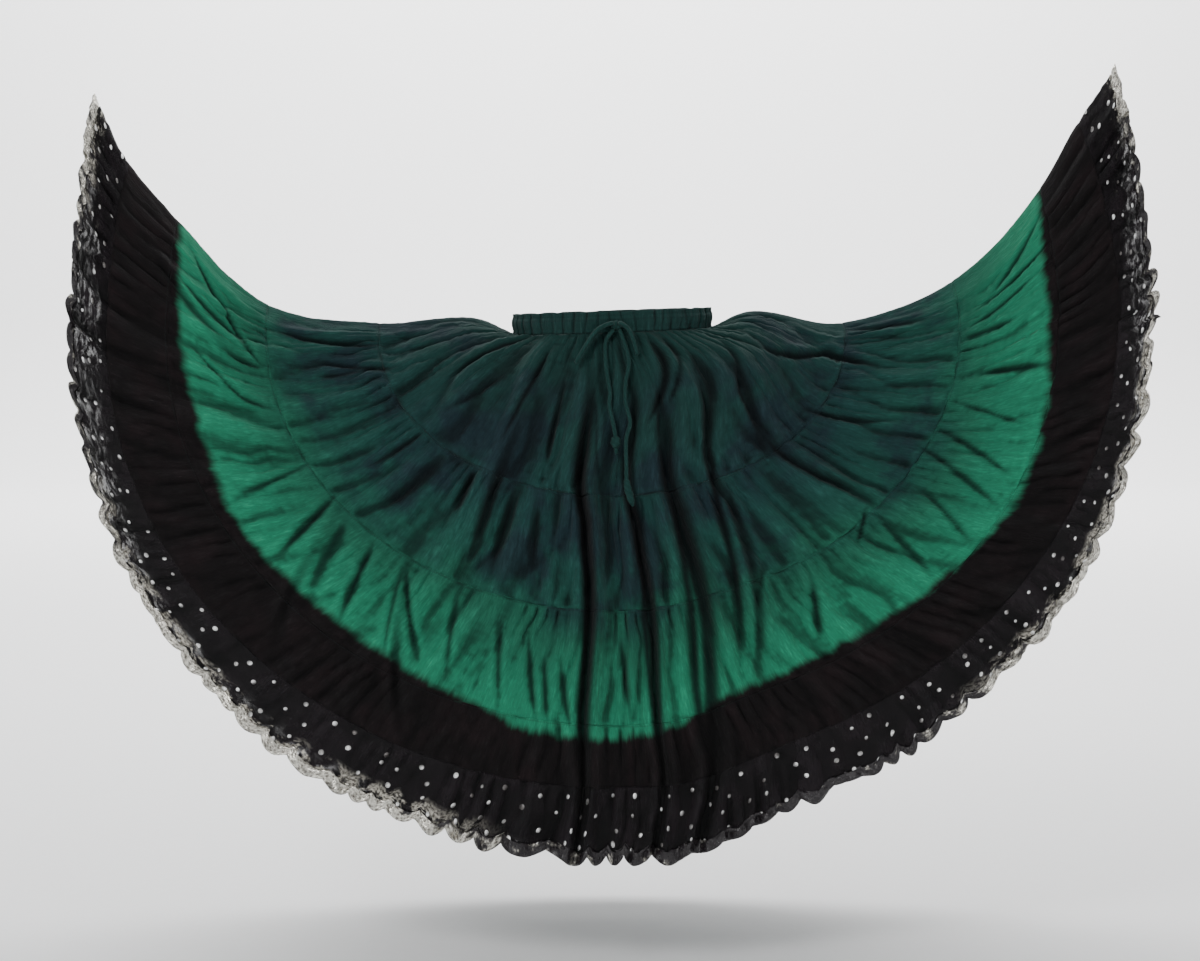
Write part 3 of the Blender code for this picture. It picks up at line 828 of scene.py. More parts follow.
@dataclass
class DyedCotton(Finish):
    """Crinkled cotton voile, dip dyed, with stitching at the seam above it."""

    seam: float = 0.290
    threads: float = 5200.0
    crinkle: float = 1.0
    # Strength of the painted shade in the hollows, then how pale the crests get, partly worn and partly painted
    # highlight.
    painted_shade: float = 0.62
    wear_and_highlight: float = 0.80
    bump: float = 0.0024

    def build(self) -> bpy.types.Material:
        """The material."""
        made = self.start()
        tree = made.node_tree
        cloth = cloth_map(tree)
        weave = Groups.place(tree, "weave", Cloth=cloth, Threads=self.threads, Crinkle=self.crinkle)
        dye = Groups.place(tree, "dip_dye", Cloth=cloth)
        stitch = Groups.place(tree, "stitching", Cloth=cloth, Seam=self.seam)
        # Painted shade in the hollows and creases, and paler crests, partly worn and partly painted highlight.
        fold_shaded = Groups.place(
            tree, "fold_shade_highlight_and_wear", Colour=dye["Colour"], Tone=weave["Tone"], Deepen=self.painted_shade, Wear=self.wear_and_highlight
        )
        thread = mixed(tree, maths(tree, "MULTIPLY", stitch["Mask"], 0.35), fold_shaded["Colour"], srgb(20, 34, 34))
        height = maths(tree, "MULTIPLY_ADD", stitch["Height"], 0.35, weave["Height"])
        bump = node(tree, "Bump", {"Strength": 0.55, "Distance": self.bump, "Height": height})
        rough = between(tree, weave["Tone"], 0.1, 1.0, (0.92, 0.76))
        surface_shader(
            made,
            {
                "Base Color": thread,
                "Roughness": rough,
                "Normal": bump.outputs[0],
                "Specular IOR Level": 0.16,
                "Sheen Weight": 0.03,
                "Sheen Roughness": 0.55,
            },
        )
        return made


@dataclass
class SheerNet(Finish):
    """Sheer black voile: open between its threads, denser where it folds."""

    open_share: float = 0.34

    def build(self) -> bpy.types.Material:
        """The material."""
        made = self.start()
        tree = made.node_tree
        cloth = cloth_map(tree)
        weave = Groups.place(tree, "weave", Cloth=cloth, Threads=4200.0, Crinkle=1.0)
        cloud = noise(tree, stretched(tree, cloth, (14.0, 22.0, 1.0)), 1.0, 3.0)
        base = mixed(tree, between(tree, cloud, 0.35, 0.7), srgb(13, 10, 12), srgb(26, 20, 24))
        # Painted shade darkens the net in its hollows and creases; its crests are paled, partly worn and partly painted
        # highlight.
        fold_shaded = Groups.place(tree, "fold_shade_highlight_and_wear", Colour=base, Tone=weave["Tone"], Deepen=0.85, Wear=0.7)
        patch = noise(tree, stretched(tree, cloth, (62.0, 78.0, 1.0)), 1.0, 5.0, 0.7)
        open_share = maths(tree, "MULTIPLY", measured(tree, "open"), between(tree, patch, 0.40, 0.64))
        down = node(tree, "SeparateXYZ", {0: cloth}).outputs[1]
        flakes = between(tree, noise(tree, cloth, 34.0, 4.0, 0.65), 0.47, 0.56)
        foil = maths(tree, "MULTIPLY", flakes, between(tree, down, 0.858, 0.880))
        foil = maths(tree, "MULTIPLY", foil, between(tree, measured(tree, "shine"), 0.35, 0.80))
        # Painted reflection: the flakes' crumpled glints are painted as darker and brighter silver.
        crumple = noise(tree, cloth, 230.0, 4.0, 0.65)
        silver = mixed(tree, between(tree, crumple, 0.38, 0.62), srgb(70, 65, 60), srgb(206, 202, 190))
        colour = mixed(tree, foil, fold_shaded["Colour"], silver)
        bare = between(tree, open_share, 0.0, 1.0, (0.96, 1.0 - self.open_share))
        alpha = maths(tree, "MAXIMUM", bare, foil)
        bump = node(tree, "Bump", {"Strength": 0.5, "Distance": 0.0010, "Height": weave["Height"]})
        surface_shader(
            made,
            {
                "Base Color": colour,
                "Metallic": maths(tree, "MULTIPLY", foil, 0.75),
                "Roughness": between(tree, weave["Tone"], 0.1, 1.0, (0.75, 0.5)),
                "Normal": bump.outputs[0],
                "Alpha": alpha,
                "Specular IOR Level": 0.12,
                "Sheen Weight": 0.03,
                "Sheen Roughness": 0.4,
            },
        )
        return made


@dataclass
class CrumpledFoil(Finish):
    """Silver foil: crumpled and bright where it has stayed, worn to the dark net where it hasn't."""

    bright: tuple = srgb(222, 219, 208)
    dull: tuple = srgb(84, 78, 72)
    worn: tuple = srgb(26, 21, 24)
    patchy: bool = True

    def build(self) -> bpy.types.Material:
        """The material."""
        made = self.start()
        tree = made.node_tree
        cloth = cloth_map(tree)
        small = noise(tree, cloth, 210.0, 4.0, 0.65)
        facets = node(tree, "TexVoronoi", {"Vector": cloth, "Scale": 260.0}, feature="F1").outputs["Distance"]
        crumple = maths(tree, "MULTIPLY_ADD", facets, 0.6, small)
        # Painted reflection: the crumple that bumps the foil also paints its facets from dull to bright.
        colour = mixed(tree, between(tree, crumple, 0.45, 1.05), self.dull, self.bright)
        metal: Value = 0.92
        if self.patchy:
            patches = noise(tree, cloth, 38.0, 4.0, 0.65)
            kept = maths(tree, "ADD", measured(tree, "shine"), maths(tree, "MULTIPLY_ADD", patches, 2.6, -1.36))
            shown = between(tree, kept, 0.30, 0.62)
            colour = mixed(tree, shown, self.worn, colour)
            metal = between(tree, kept, 0.30, 0.62, (0.05, 0.90))
        else:
            worn = between(tree, noise(tree, cloth, 30.0, 2.0), 0.36, 0.60)
            # Painted reflection: the dots' crumple paints them from pale grey to near white.
            pale = mixed(tree, between(tree, crumple, 0.30, 0.60), srgb(176, 176, 170), srgb(250, 250, 248))
            colour = mixed(tree, worn, srgb(104, 100, 98), pale)
            metal = between(tree, small, 0.2, 0.4, (0.25, 0.45))
        bump = node(tree, "Bump", {"Strength": 0.9, "Distance": 0.0012, "Height": crumple})
        surface_shader(
            made,
            {
                "Base Color": colour,
                "Metallic": metal,
                "Roughness": between(tree, small, 0.35, 0.65, (0.46, 0.22)),
                "Normal": bump.outputs[0],
            },
        )
        return made


@dataclass
class StudioPaper(Finish):
    """The studio's seamless pale paper."""

    def build(self) -> bpy.types.Material:
        """The material."""
        made = self.start()
        tree = made.node_tree
        place = node(tree, "TexCoord").outputs["Object"]
        fibre = noise(tree, place, 60.0, 4.0)
        colour = mixed(tree, fibre, (0.90, 0.90, 0.90, 1), (0.93, 0.93, 0.93, 1))
        surface_shader(made, {"Base Color": colour, "Roughness": 0.95, "Specular IOR Level": 0.1})
        return made


def new_piece(name: str, mesh: bpy.types.Mesh, finish: bpy.types.Material, nodes: Sequence[str]) -> Any:
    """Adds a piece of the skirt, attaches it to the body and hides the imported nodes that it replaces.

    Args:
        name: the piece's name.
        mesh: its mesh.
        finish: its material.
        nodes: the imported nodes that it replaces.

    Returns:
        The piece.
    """
    made = bpy.data.objects.new(name + "_cloth", mesh)
    bpy.context.scene.collection.objects.link(made)
    mesh.materials.append(finish)
    mesh.polygons.foreach_set("use_smooth", np.ones(len(mesh.polygons), bool))
    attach(made, BODY)
    if nodes:
        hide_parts(*nodes)
    LOG.info("%s: %d faces", name, len(mesh.polygons))
    return made


def grid_mesh(name: str, points: Array, flat: Array, closed_rows: bool = False) -> bpy.types.Mesh:
    """A mesh from a grid of points that closes round its columns.

    Args:
        name: the mesh's name.
        points: rows by columns of points.
        flat: rows by (columns + 1) of (round, down) in metres on the flat cloth.
        closed_rows: whether the last row joins the first.

    Returns:
        The mesh, with its cloth map.
    """
    rows, cols = points.shape[:2]
    mesh = bpy.data.meshes.new(name)
    here = np.arange(cols)
    after = (here + 1) % cols
    faces, corners = [], []
    for r in range(rows if closed_rows else rows - 1):
        below = (r + 1) % rows
        faces.append(np.stack([r * cols + here, below * cols + here, below * cols + after, r * cols + after], axis=1))
        top, foot = flat[r], flat[r + 1]
        corners.append(np.stack([top[:-1], foot[:-1], foot[1:], top[1:]], axis=1))
    faces = np.concatenate(faces)
    mesh.vertices.add(rows * cols)
    mesh.vertices.foreach_set("co", points.astype(np.float32).ravel())
    mesh.loops.add(faces.size)
    mesh.loops.foreach_set("vertex_index", faces.astype(np.int32).ravel())
    mesh.polygons.add(len(faces))
    mesh.polygons.foreach_set("loop_start", np.arange(0, faces.size, 4, dtype=np.int32))
    mesh.update(calc_edges=True)
    layer = mesh.uv_layers.new(name="cloth")
    layer.data.foreach_set("uv", (np.concatenate(corners) / CLOTH_SCALE).astype(np.float32).ravel())
    return mesh


def point_values(mesh: bpy.types.Mesh, name: str, values: Array) -> None:
    """Gives each point of a mesh a value.

    Args:
        mesh: the mesh.
        name: the attribute's name.
        values: one for each point.
    """
    attribute = mesh.attributes.new(name, "FLOAT", "POINT")
    attribute.data.foreach_set("value", values.astype(np.float32).ravel())


def shell(piece: bpy.types.Object, wall: float) -> None:
    """Gives a sheet of cloth its wall.

    Args:
        piece: the sheet.
        wall: its thickness in metres.
    """
    made = piece.modifiers.new("wall", "SOLIDIFY")
    made.thickness = wall
    made.offset = 0.0


@dataclass
class ClothRing:
    """One gathered strip of the skirt, from the seam above it to the seam below."""

    name: str
    slot: str
    top: float
    foot: float
    columns: int
    rows: int
    gathers: int
    finish: Finish
    wall: float = 0.0008
    seed: int = 1
    fine: float = 0.39
    broad: float = 0.12
    fullness: float = 0.55
    loose_foot: bool = False
    scallop: float = 0.0
    crumple: float = 0.0
    allowance: float = 0.0025

    def row_lengths(self) -> Array:
        """Lengths of the rows down the cloth, close together at the seams, from the seam allowance down."""
        even = np.linspace(0, 1, self.rows - 1)
        eased = 0.55 * even + 0.45 * smooth_step(even)
        return np.concatenate([[self.top - self.allowance], self.top + (self.foot - self.top) * eased])

    def creases(self, u: Array, length: Array, arc: Array) -> tuple[Array, Array]:
        """How far the listed creases move one row of the cloth, and how dark their painted shade is.

        Args:
            u: places round the ring.
            length: the row's places down the cloth.
            arc: metres from the left point along the half for each place.

        Returns:
            Metres outward (+) or inward (-), and the depth of shade from 0 to 1.
        """
        share, side = FORM.round_share(u)
        at = float(np.mean(length))
        offset, shade = np.zeros(len(u)), np.zeros(len(u))
        behind = [
            c.behind(BACK_SHIFTS[i % len(BACK_SHIFTS)], BACK_DROPS[i % len(BACK_DROPS)])
            for i, c in enumerate(CREASES)
        ]
        for mark in (*CREASES, *behind):
            lengths = [v for _, v in mark.places]
            fade = 0.30 * (lengths[-1] - lengths[0])
            strength = float(smooth_step(np.array((at - lengths[0] + 0.3 * fade) / (1.3 * fade))))
            strength *= float(smooth_step(np.array((lengths[-1] + 0.3 * fade - at) / (1.3 * fade))))
            if strength < 0.01:
                continue
            place = np.interp(at, lengths, [s for s, _ in mark.places])
            half = side == mark.half.value
            centre = np.interp(place, share[half][np.argsort(share[half])], arc[half][np.argsort(share[half])])
            width, depth, dark = mark.kind.value
            width = width * (0.55 + 0.45 * strength)
            off = np.where(half, arc - centre, 9.0)
            offset -= strength * depth * np.exp(-((off / width) ** 2))
            offset += 0.33 * strength * depth * np.exp(-(((np.abs(off) - 2.1 * width) / (1.1 * width)) ** 2))
            # Painted shade along each crease, as dark as its kind says.
            edged = np.where(off < 0, off / (0.55 * width), off / (0.95 * width))
            shade = np.maximum(shade, dark * strength * np.exp(-(edged**2)))
        return offset, shade

    def height(
        self, u: Array, length: Array, spacing: Array, whole: float, way: Array, arc: Array
    ) -> tuple[Array, Array]:
        """How far one row of the cloth stands off the smooth form, and how dark the painted shade in its deep folds is.

        Args:
            u: places round the ring.
            length: places down the cloth.
            spacing: metres round the ring per unit of u.
            whole: metres round the whole ring.
            way: share of the whole round, by metres.
            arc: metres from the left point along the half.

        Returns:
            Metres outward (+) or inward (-), and the depth of shade from 0 to 1.
        """
        share, _ = FORM.round_share(u)
        calm = np.clip(np.minimum(share, 1 - share) / FORM.ridge_calm, 0.20, 1.0)
        body = RoundNoise(100)
        evenness = np.clip(self.fullness * (0.62 + 0.95 * body.field(u, length, 46, 0.30, 1)), 0.02, 1.2)
        drift = 1.5 * body.field(u, length, 30, 0.22, 2)
        offset, shade = FORM.large_folds(u, length, spacing, evenness, drift)
        offset += 0.05 * whole / 70 * calm * body.gathers(u, length, 70, 0.22, 4)
        below = length - self.top
        above = self.foot - length
        rise = smooth_step(below / 0.010)
        fall = np.ones(len(u)) if self.loose_foot else smooth_step((above + 0.001) / 0.014)
        own = RoundNoise(self.seed)
        step = whole / self.gathers
        near = 0.30 + 0.70 * np.exp(-np.clip(below, 0, None) / 0.055)
        wide = 0.35 + 0.65 * smooth_step(below / 0.07)
        small = own.gathers(way, length, self.gathers, 0.055, 10)
        merged = own.gathers(way, length, int(self.gathers / 1.9), 0.11, 20)
        large = own.gathers(way, length, int(self.gathers / 3.7), 0.16, 30)
        folds = self.fine * step * near * small
        folds += self.broad * 1.9 * step * wide * merged
        folds += 0.6 * self.broad * 3.7 * step * wide * large
        offset += folds * rise * fall * calm
        placed, dark = self.creases(u, length, arc)
        offset += placed * calm
        cells = max(int(whole / 0.022), 8)
        offset += 0.0016 * own.field(way, length, cells, 0.045, 40) * calm
        offset += 0.0010 * own.field(way, length, cells * 2, 0.018, 41) * calm
        if not self.loose_foot:
            offset -= 0.0005 * np.exp(-((above / 0.0016) ** 2))
        offset -= 0.0005 * np.exp(-((below / 0.0016) ** 2)) + 0.0012 * (below < -0.0005)
        if self.crumple:
            offset += self.crumple * own.field(way, length, int(whole / 0.009), 0.006, 42)
            offset += 0.5 * self.crumple * own.field(way, length, int(whole / 0.0045), 0.004, 43)
        return offset, np.maximum(shade, dark)

    def build(self) -> bpy.types.Object:
        """Makes the strip.

        Returns:
            The piece.
        """
        lengths = self.row_lengths()
        u = np.arange(self.columns) / self.columns
        share, side = FORM.round_share(u)
        points, shades, reliefs, rounds = [], [], [], []
        for at in lengths:
            length = np.full(self.columns, at)
            across, down, outward = FORM.directions(u, length)
            body = FORM.surface(u, length)
            steps = np.linalg.norm(np.roll(body, -1, axis=0) - body, axis=1)
            along = np.concatenate([[0.0], np.cumsum(steps)])
            whole = along[-1]
            arc = np.minimum(along[:-1], whole - along[:-1])
            offset, shade = self.height(u, length, np.linalg.norm(across, axis=1), whole, along[:-1] / whole, arc)
            hem = self.hem_run(at, along[:-1] / whole, whole)
            points.append(body + outward * offset[:, None] + down * hem[:, None])
            shades.append(shade)
            reliefs.append(self.relief(offset, whole))
            rounds.append(whole)
        middle = self.rows // 2
        across_flat = np.linspace(0, rounds[middle], self.columns + 1)
        flat = np.stack(
            [np.tile(across_flat, (self.rows, 1)), np.repeat(lengths[:, None], self.columns + 1, axis=1)], axis=2
        )
        mesh = grid_mesh(self.name, np.array(points), flat)
        # The relief and crease values drive the painted shade in the material: darker in the hollows, the drapes and
        # the creases, and paler crests.
        point_values(mesh, "relief", np.array(reliefs))
        point_values(mesh, "crease", np.array(shades))
        edge = np.interp(share, [s for s, _ in DYE_EDGE], [v for _, v in DYE_EDGE])
        edge = edge + np.where(side < 0, 0.012 * np.sin(9 * share), 0.0)
        point_values(mesh, "past_dye", lengths[:, None] - edge[None, :])
        shine = np.interp(share, [s for s, _ in FOIL_SHINE], [v for _, v in FOIL_SHINE])
        point_values(mesh, "shine", np.tile(shine, (self.rows, 1)))
        loose = np.interp(share, [s for s, _ in RUFFLE_OPEN], [v for _, v in RUFFLE_OPEN])
        rise = smooth_step((lengths[:, None] - loose[None, :] + 0.010) / 0.035)
        point_values(mesh, "open", rise * (0.35 + 0.65 * np.array(reliefs)))
        made = new_piece(self.name, mesh, self.finish.build(), [self.name])
        shell(made, self.wall)
        return made

    def hem_run(self, at: float, way: Array, whole: float) -> Array:
        """How far the cloth reaches down beyond its length, which scallops a loose edge.

        Args:
            at: the row's length down the cloth.
            way: share of the whole round.
            whole: metres round the ring; not used.

        Returns:
            Metres down the cloth.
        """
        share = max(0.0, (at - 0.790) / 0.115)
        waves = RoundNoise(7)
        flat = np.full(len(way), 0.5)
        turn = way * HEM_LOBES + 0.80 * waves.field(way, flat, HEM_LOBES // 2, 0.3, 51)
        part = turn % 1.0
        size = 0.55 + 0.55 * waves.field(way, flat, int(HEM_LOBES / 1.4), 0.3, 52)
        lobe = np.abs(np.sin(np.pi * part)) ** 0.7 * (0.75 + 0.25 * part)
        small = 0.30 * waves.field(way, flat, HEM_LOBES * 2, 0.3, 53)
        edge = np.minimum(way, 1 - way)
        calm = smooth_step(np.minimum(edge, np.abs(way - 0.5)) / 0.012)
        broad = 0.50 * waves.field(way, flat, HEM_LOBES // 4, 0.3, 54)
        return self.scallop * calm * min(share, 1.15) ** 1.6 * (size * (lobe - 0.55) * 1.5 + small + broad)

    def relief(self, offset: Array, whole: float) -> Array:
        """How high each place of a row stands above what is round it, for the dye and the wear.

        Args:
            offset: how far the cloth stands off the form.
            whole: metres round the ring.

        Returns:
            How high each place of a row stands above what is round it, for the painted shade in the hollows and the
            paler crests, partly worn and partly painted highlight.
        """
        spread = 0.016 * len(offset) / whole
        waves = np.fft.rfftfreq(len(offset))
        smooth = np.fft.irfft(np.fft.rfft(offset) * np.exp(-2 * (np.pi * waves * spread) ** 2), len(offset))
        fine_spread = 0.0022 * len(offset) / whole
        fine = np.fft.irfft(np.fft.rfft(offset) * np.exp(-2 * (np.pi * waves * fine_spread) ** 2), len(offset))
        return 0.5 + 0.5 * np.tanh((fine - smooth) / 0.0038)


@dataclass
class Waistband:
    """The drawstring casing: doubled cloth, gathered on its cord, with two rows of stitching."""

    height: float = 0.035
    wall: float = 0.003
    roll: float = 0.0022
    columns: int = 864
    finish: Finish = field(default_factory=lambda: DyedCotton("waistband_cotton", seam=0.006, crinkle=1.2))

    def build(self) -> bpy.types.Object:
        """Makes the casing.

        Returns:
            The piece.
        """
        u = np.arange(self.columns) / self.columns
        foot_length = np.full(self.columns, FORM.rings[0].length)
        share, side = FORM.round_share(u)
        foot = FORM.rings[0].points(share, side, FORM.band_tilt)
        across, _, _ = FORM.directions(u, foot_length)
        outward = unit(np.cross(np.array([0.0, 0.0, -1.0]), across))
        steps = np.linalg.norm(np.roll(foot, -1, axis=0) - foot, axis=1)
        along = np.concatenate([[0.0], np.cumsum(steps)])
        way = along[:-1] / along[-1]
        own = RoundNoise(31)
        profile = (
            (0.0004, 0.3), (0.004, 0.9), (0.007, 0.5), (0.010, 1.0), (0.015, 1.9), (0.020, 2.1), (0.025, 1.7),
            (0.028, 0.9), (0.030, 0.5), (0.033, 0.7), (0.0349, 0.4), (0.0346, -0.8), (0.028, -0.9),
            (0.020, -0.9), (0.010, -0.9), (0.0008, -0.8),
        )
        points, reliefs = [], []
        for height, out in profile:
            length = np.full(self.columns, self.height - height)
            pucker = own.gathers(way, length, 46, 0.05, 1) * 0.0016 + own.gathers(way, length, 24, 0.09, 9) * 0.0012
            pucker = 1.3 * np.clip(pucker, -0.0024, 0.0009) * (1.0 if out > 0 else 0.35)
            wave = 0.0016 * own.field(way, length, 70, 0.05, 15) * (height > 0.03)
            rise = np.array([0.0, 0.0, 1.0]) * (height + np.minimum(wave, 0.0))[:, None]
            off = out * 0.0015 + pucker
            points.append(foot + rise + outward * off[:, None])
            # Relief of the puckers: the material paints shade into their hollows and pales their tops, partly worn and
            # partly painted highlight.
            reliefs.append(0.5 + 0.5 * np.tanh((pucker + 0.0004) / 0.0011))
        downs = np.array([self.height - height for height, _ in (*profile, profile[0])])
        downs[-1] = -0.02
        flat = np.stack(
            [np.tile(along, (len(downs), 1)), np.repeat(downs[:, None], self.columns + 1, axis=1)], axis=2
        )
        mesh = grid_mesh("waistband", np.array(points)[::-1], flat[::-1], closed_rows=True)
        point_values(mesh, "relief", np.array(reliefs)[::-1])
        point_values(mesh, "past_dye", np.full(len(mesh.vertices), -0.66))
        point_values(mesh, "crease", np.zeros(len(mesh.vertices)))
        made = new_piece("waistband", mesh, self.finish.build(), ["waistband"])
        return made


@dataclass
class FoilDots:
    """Round foil dots printed on the ruffle in staggered rows."""

    ruffle: ClothRing
    radius: float = 0.0043
    across: float = 0.047
    rows: tuple[float, ...] = (0.812, 0.836, 0.861, 0.884)
    sides: int = 12
    finish: Finish = field(default_factory=lambda: CrumpledFoil("dot_foil", patchy=False))

    def sample(self, u: Array, length: Array) -> Array:
        """Points on the ruffle's outer face.

        Args:
            u: places round the ring.
            length: places down the cloth.

        Returns:
            A point for each.
        """
        grid = self.ruffle_points
        rows = np.interp(length, self.ruffle.row_lengths(), np.arange(self.ruffle.rows))
        cols = (u % 1.0) * self.ruffle.columns
        r, c = np.clip(np.floor(rows).astype(int), 0, self.ruffle.rows - 2), np.floor(cols).astype(int)
        fr, fc = (rows - r)[:, None], (cols - c)[:, None]
        c, after = c % self.ruffle.columns, (c + 1) % self.ruffle.columns
        top = grid[r, c] * (1 - fc) + grid[r, after] * fc
        return top * (1 - fr) + (grid[r + 1, c] * (1 - fc) + grid[r + 1, after] * fc) * fr

    def build(self, piece: bpy.types.Object) -> bpy.types.Object:
        """Prints the dots.

        Args:
            piece: the ruffle.

        Returns:
            The dots, as one piece.
        """
        grid = np.empty(len(piece.data.vertices) * 3, np.float32)
        piece.data.vertices.foreach_get("co", grid)
        self.ruffle_points = grid.reshape(self.ruffle.rows, self.ruffle.columns, 3).astype(float)
        normals = np.empty(len(piece.data.vertices) * 3, np.float32)
        piece.data.vertices.foreach_get("normal", normals)
        rng = np.random.default_rng(77)
        bm = bmesh.new()
        layer = bm.loops.layers.uv.new("cloth")
        turns = np.arange(self.sides) * 2 * np.pi / self.sides
        for k, length in enumerate(self.rows):
            ring = self.sample(np.arange(2000) / 2000, np.full(2000, length))
            along = np.concatenate([[0.0], np.cumsum(np.linalg.norm(np.roll(ring, -1, axis=0) - ring, axis=1))])
            count = int(along[-1] / (self.across * 1.25))
            for i in range(count):
                where = (i + 0.5 * (k % 2) + rng.uniform(-0.26, 0.26)) / count * along[-1]
                at = float(np.interp(where % along[-1], along, np.arange(2001) / 2000))
                down = length + rng.uniform(-0.006, 0.005)
                size = self.radius * rng.uniform(0.66, 1.10)
                rate = along[-1] / 1.0
                local = max(float(np.interp(at + 0.002, np.arange(2001) / 2000, along)), 0) - float(
                    np.interp(at - 0.002, np.arange(2001) / 2000, along)
                )
                rate = max(local / 0.004, 0.4 * rate)
                us = at + np.cos(turns) * size / rate
                downs = down + np.sin(turns) * size
                rim = self.sample(us, downs)
                centre = self.sample(np.array([at]), np.array([down]))[0]
                normal = unit(sum(np.cross(rim[j] - centre, rim[(j + 1) % self.sides] - centre) for j in range(self.sides)))
                lift = -normal * 0.0012
                tip = bm.verts.new(centre + lift)
                edge = [bm.verts.new(p + lift * 0.75) for p in rim]
                for j in range(self.sides):
                    face = bm.faces.new((tip, edge[(j + 1) % self.sides], edge[j]))
                    face.smooth = True
                    flat = (
                        (where, down),
                        (where + math.cos(turns[(j + 1) % self.sides]) * size, down + math.sin(turns[(j + 1) % self.sides]) * size),
                        (where + math.cos(turns[j]) * size, down + math.sin(turns[j]) * size),
                    )
                    for loop, place in zip(face.loops, flat):
                        loop[layer].uv = (place[0] / CLOTH_SCALE, place[1] / CLOTH_SCALE)
        mesh = bpy.data.meshes.new("foil_dots")
        bm.to_mesh(mesh)
        bm.free()
        made = new_piece("foil_dots", mesh, self.finish.build(), [])
        shell(made, 0.0003)
        return made


@dataclass(frozen=True)
class Strand:
    """A strand of the bow: where it leaves the knot, the places it goes by, and where it comes back."""

    name: str
    leaves: Point
    places: tuple[Point, ...]
    returns: Optional[Point] = None


LOOP_LEFT = Strand(
    "drawstring_loop_left",
    (-0.97, 0.10, 0.10),
    (
        (-0.0210, -0.1232, -0.0130), (-0.0400, -0.1315, -0.0340), (-0.0540, -0.1375, -0.0560),
        (-0.0580, -0.1408, -0.0640), (-0.0560, -0.1446, -0.0600), (-0.0420, -0.1390, -0.0360),
        (-0.0230, -0.1325, -0.0110),
    ),
    (-0.52, -0.78, 0.30),
)
LOOP_RIGHT = Strand(
    "drawstring_loop_right",
    (0.97, 0.10, -0.05),
    (
        (0.0270, -0.1225, -0.0160), (0.0370, -0.1260, -0.0350), (0.0405, -0.1308, -0.0480),
        (0.0395, -0.1350, -0.0505), (0.0360, -0.1355, -0.0370), (0.0270, -0.1325, -0.0130),
    ),
    (0.52, -0.78, 0.30),
)
END_LEFT = Strand(
    "drawstring_end_left",
    (-0.50, -0.20, -0.84),
    (
        (-0.0100, -0.1265, -0.0290), (-0.0095, -0.1395, -0.0760), (-0.0040, -0.1500, -0.1120),
        (-0.0048, -0.1565, -0.1320), (0.0038, -0.1655, -0.1760), (0.0062, -0.1680, -0.2100),
    ),
)
END_RIGHT = Strand(
    "drawstring_end_right",
    (0.50, -0.20, -0.84),
    (
        (0.0200, -0.1285, -0.0350), (0.0264, -0.1415, -0.0640), (0.0212, -0.1475, -0.0940),
        (0.0204, -0.1535, -0.1240), (0.0280, -0.1610, -0.1600), (0.0220, -0.1700, -0.1840),
        (0.0218, -0.1860, -0.2260), (0.0230, -0.1975, -0.2560), (0.0322, -0.2030, -0.2900),
    ),
)


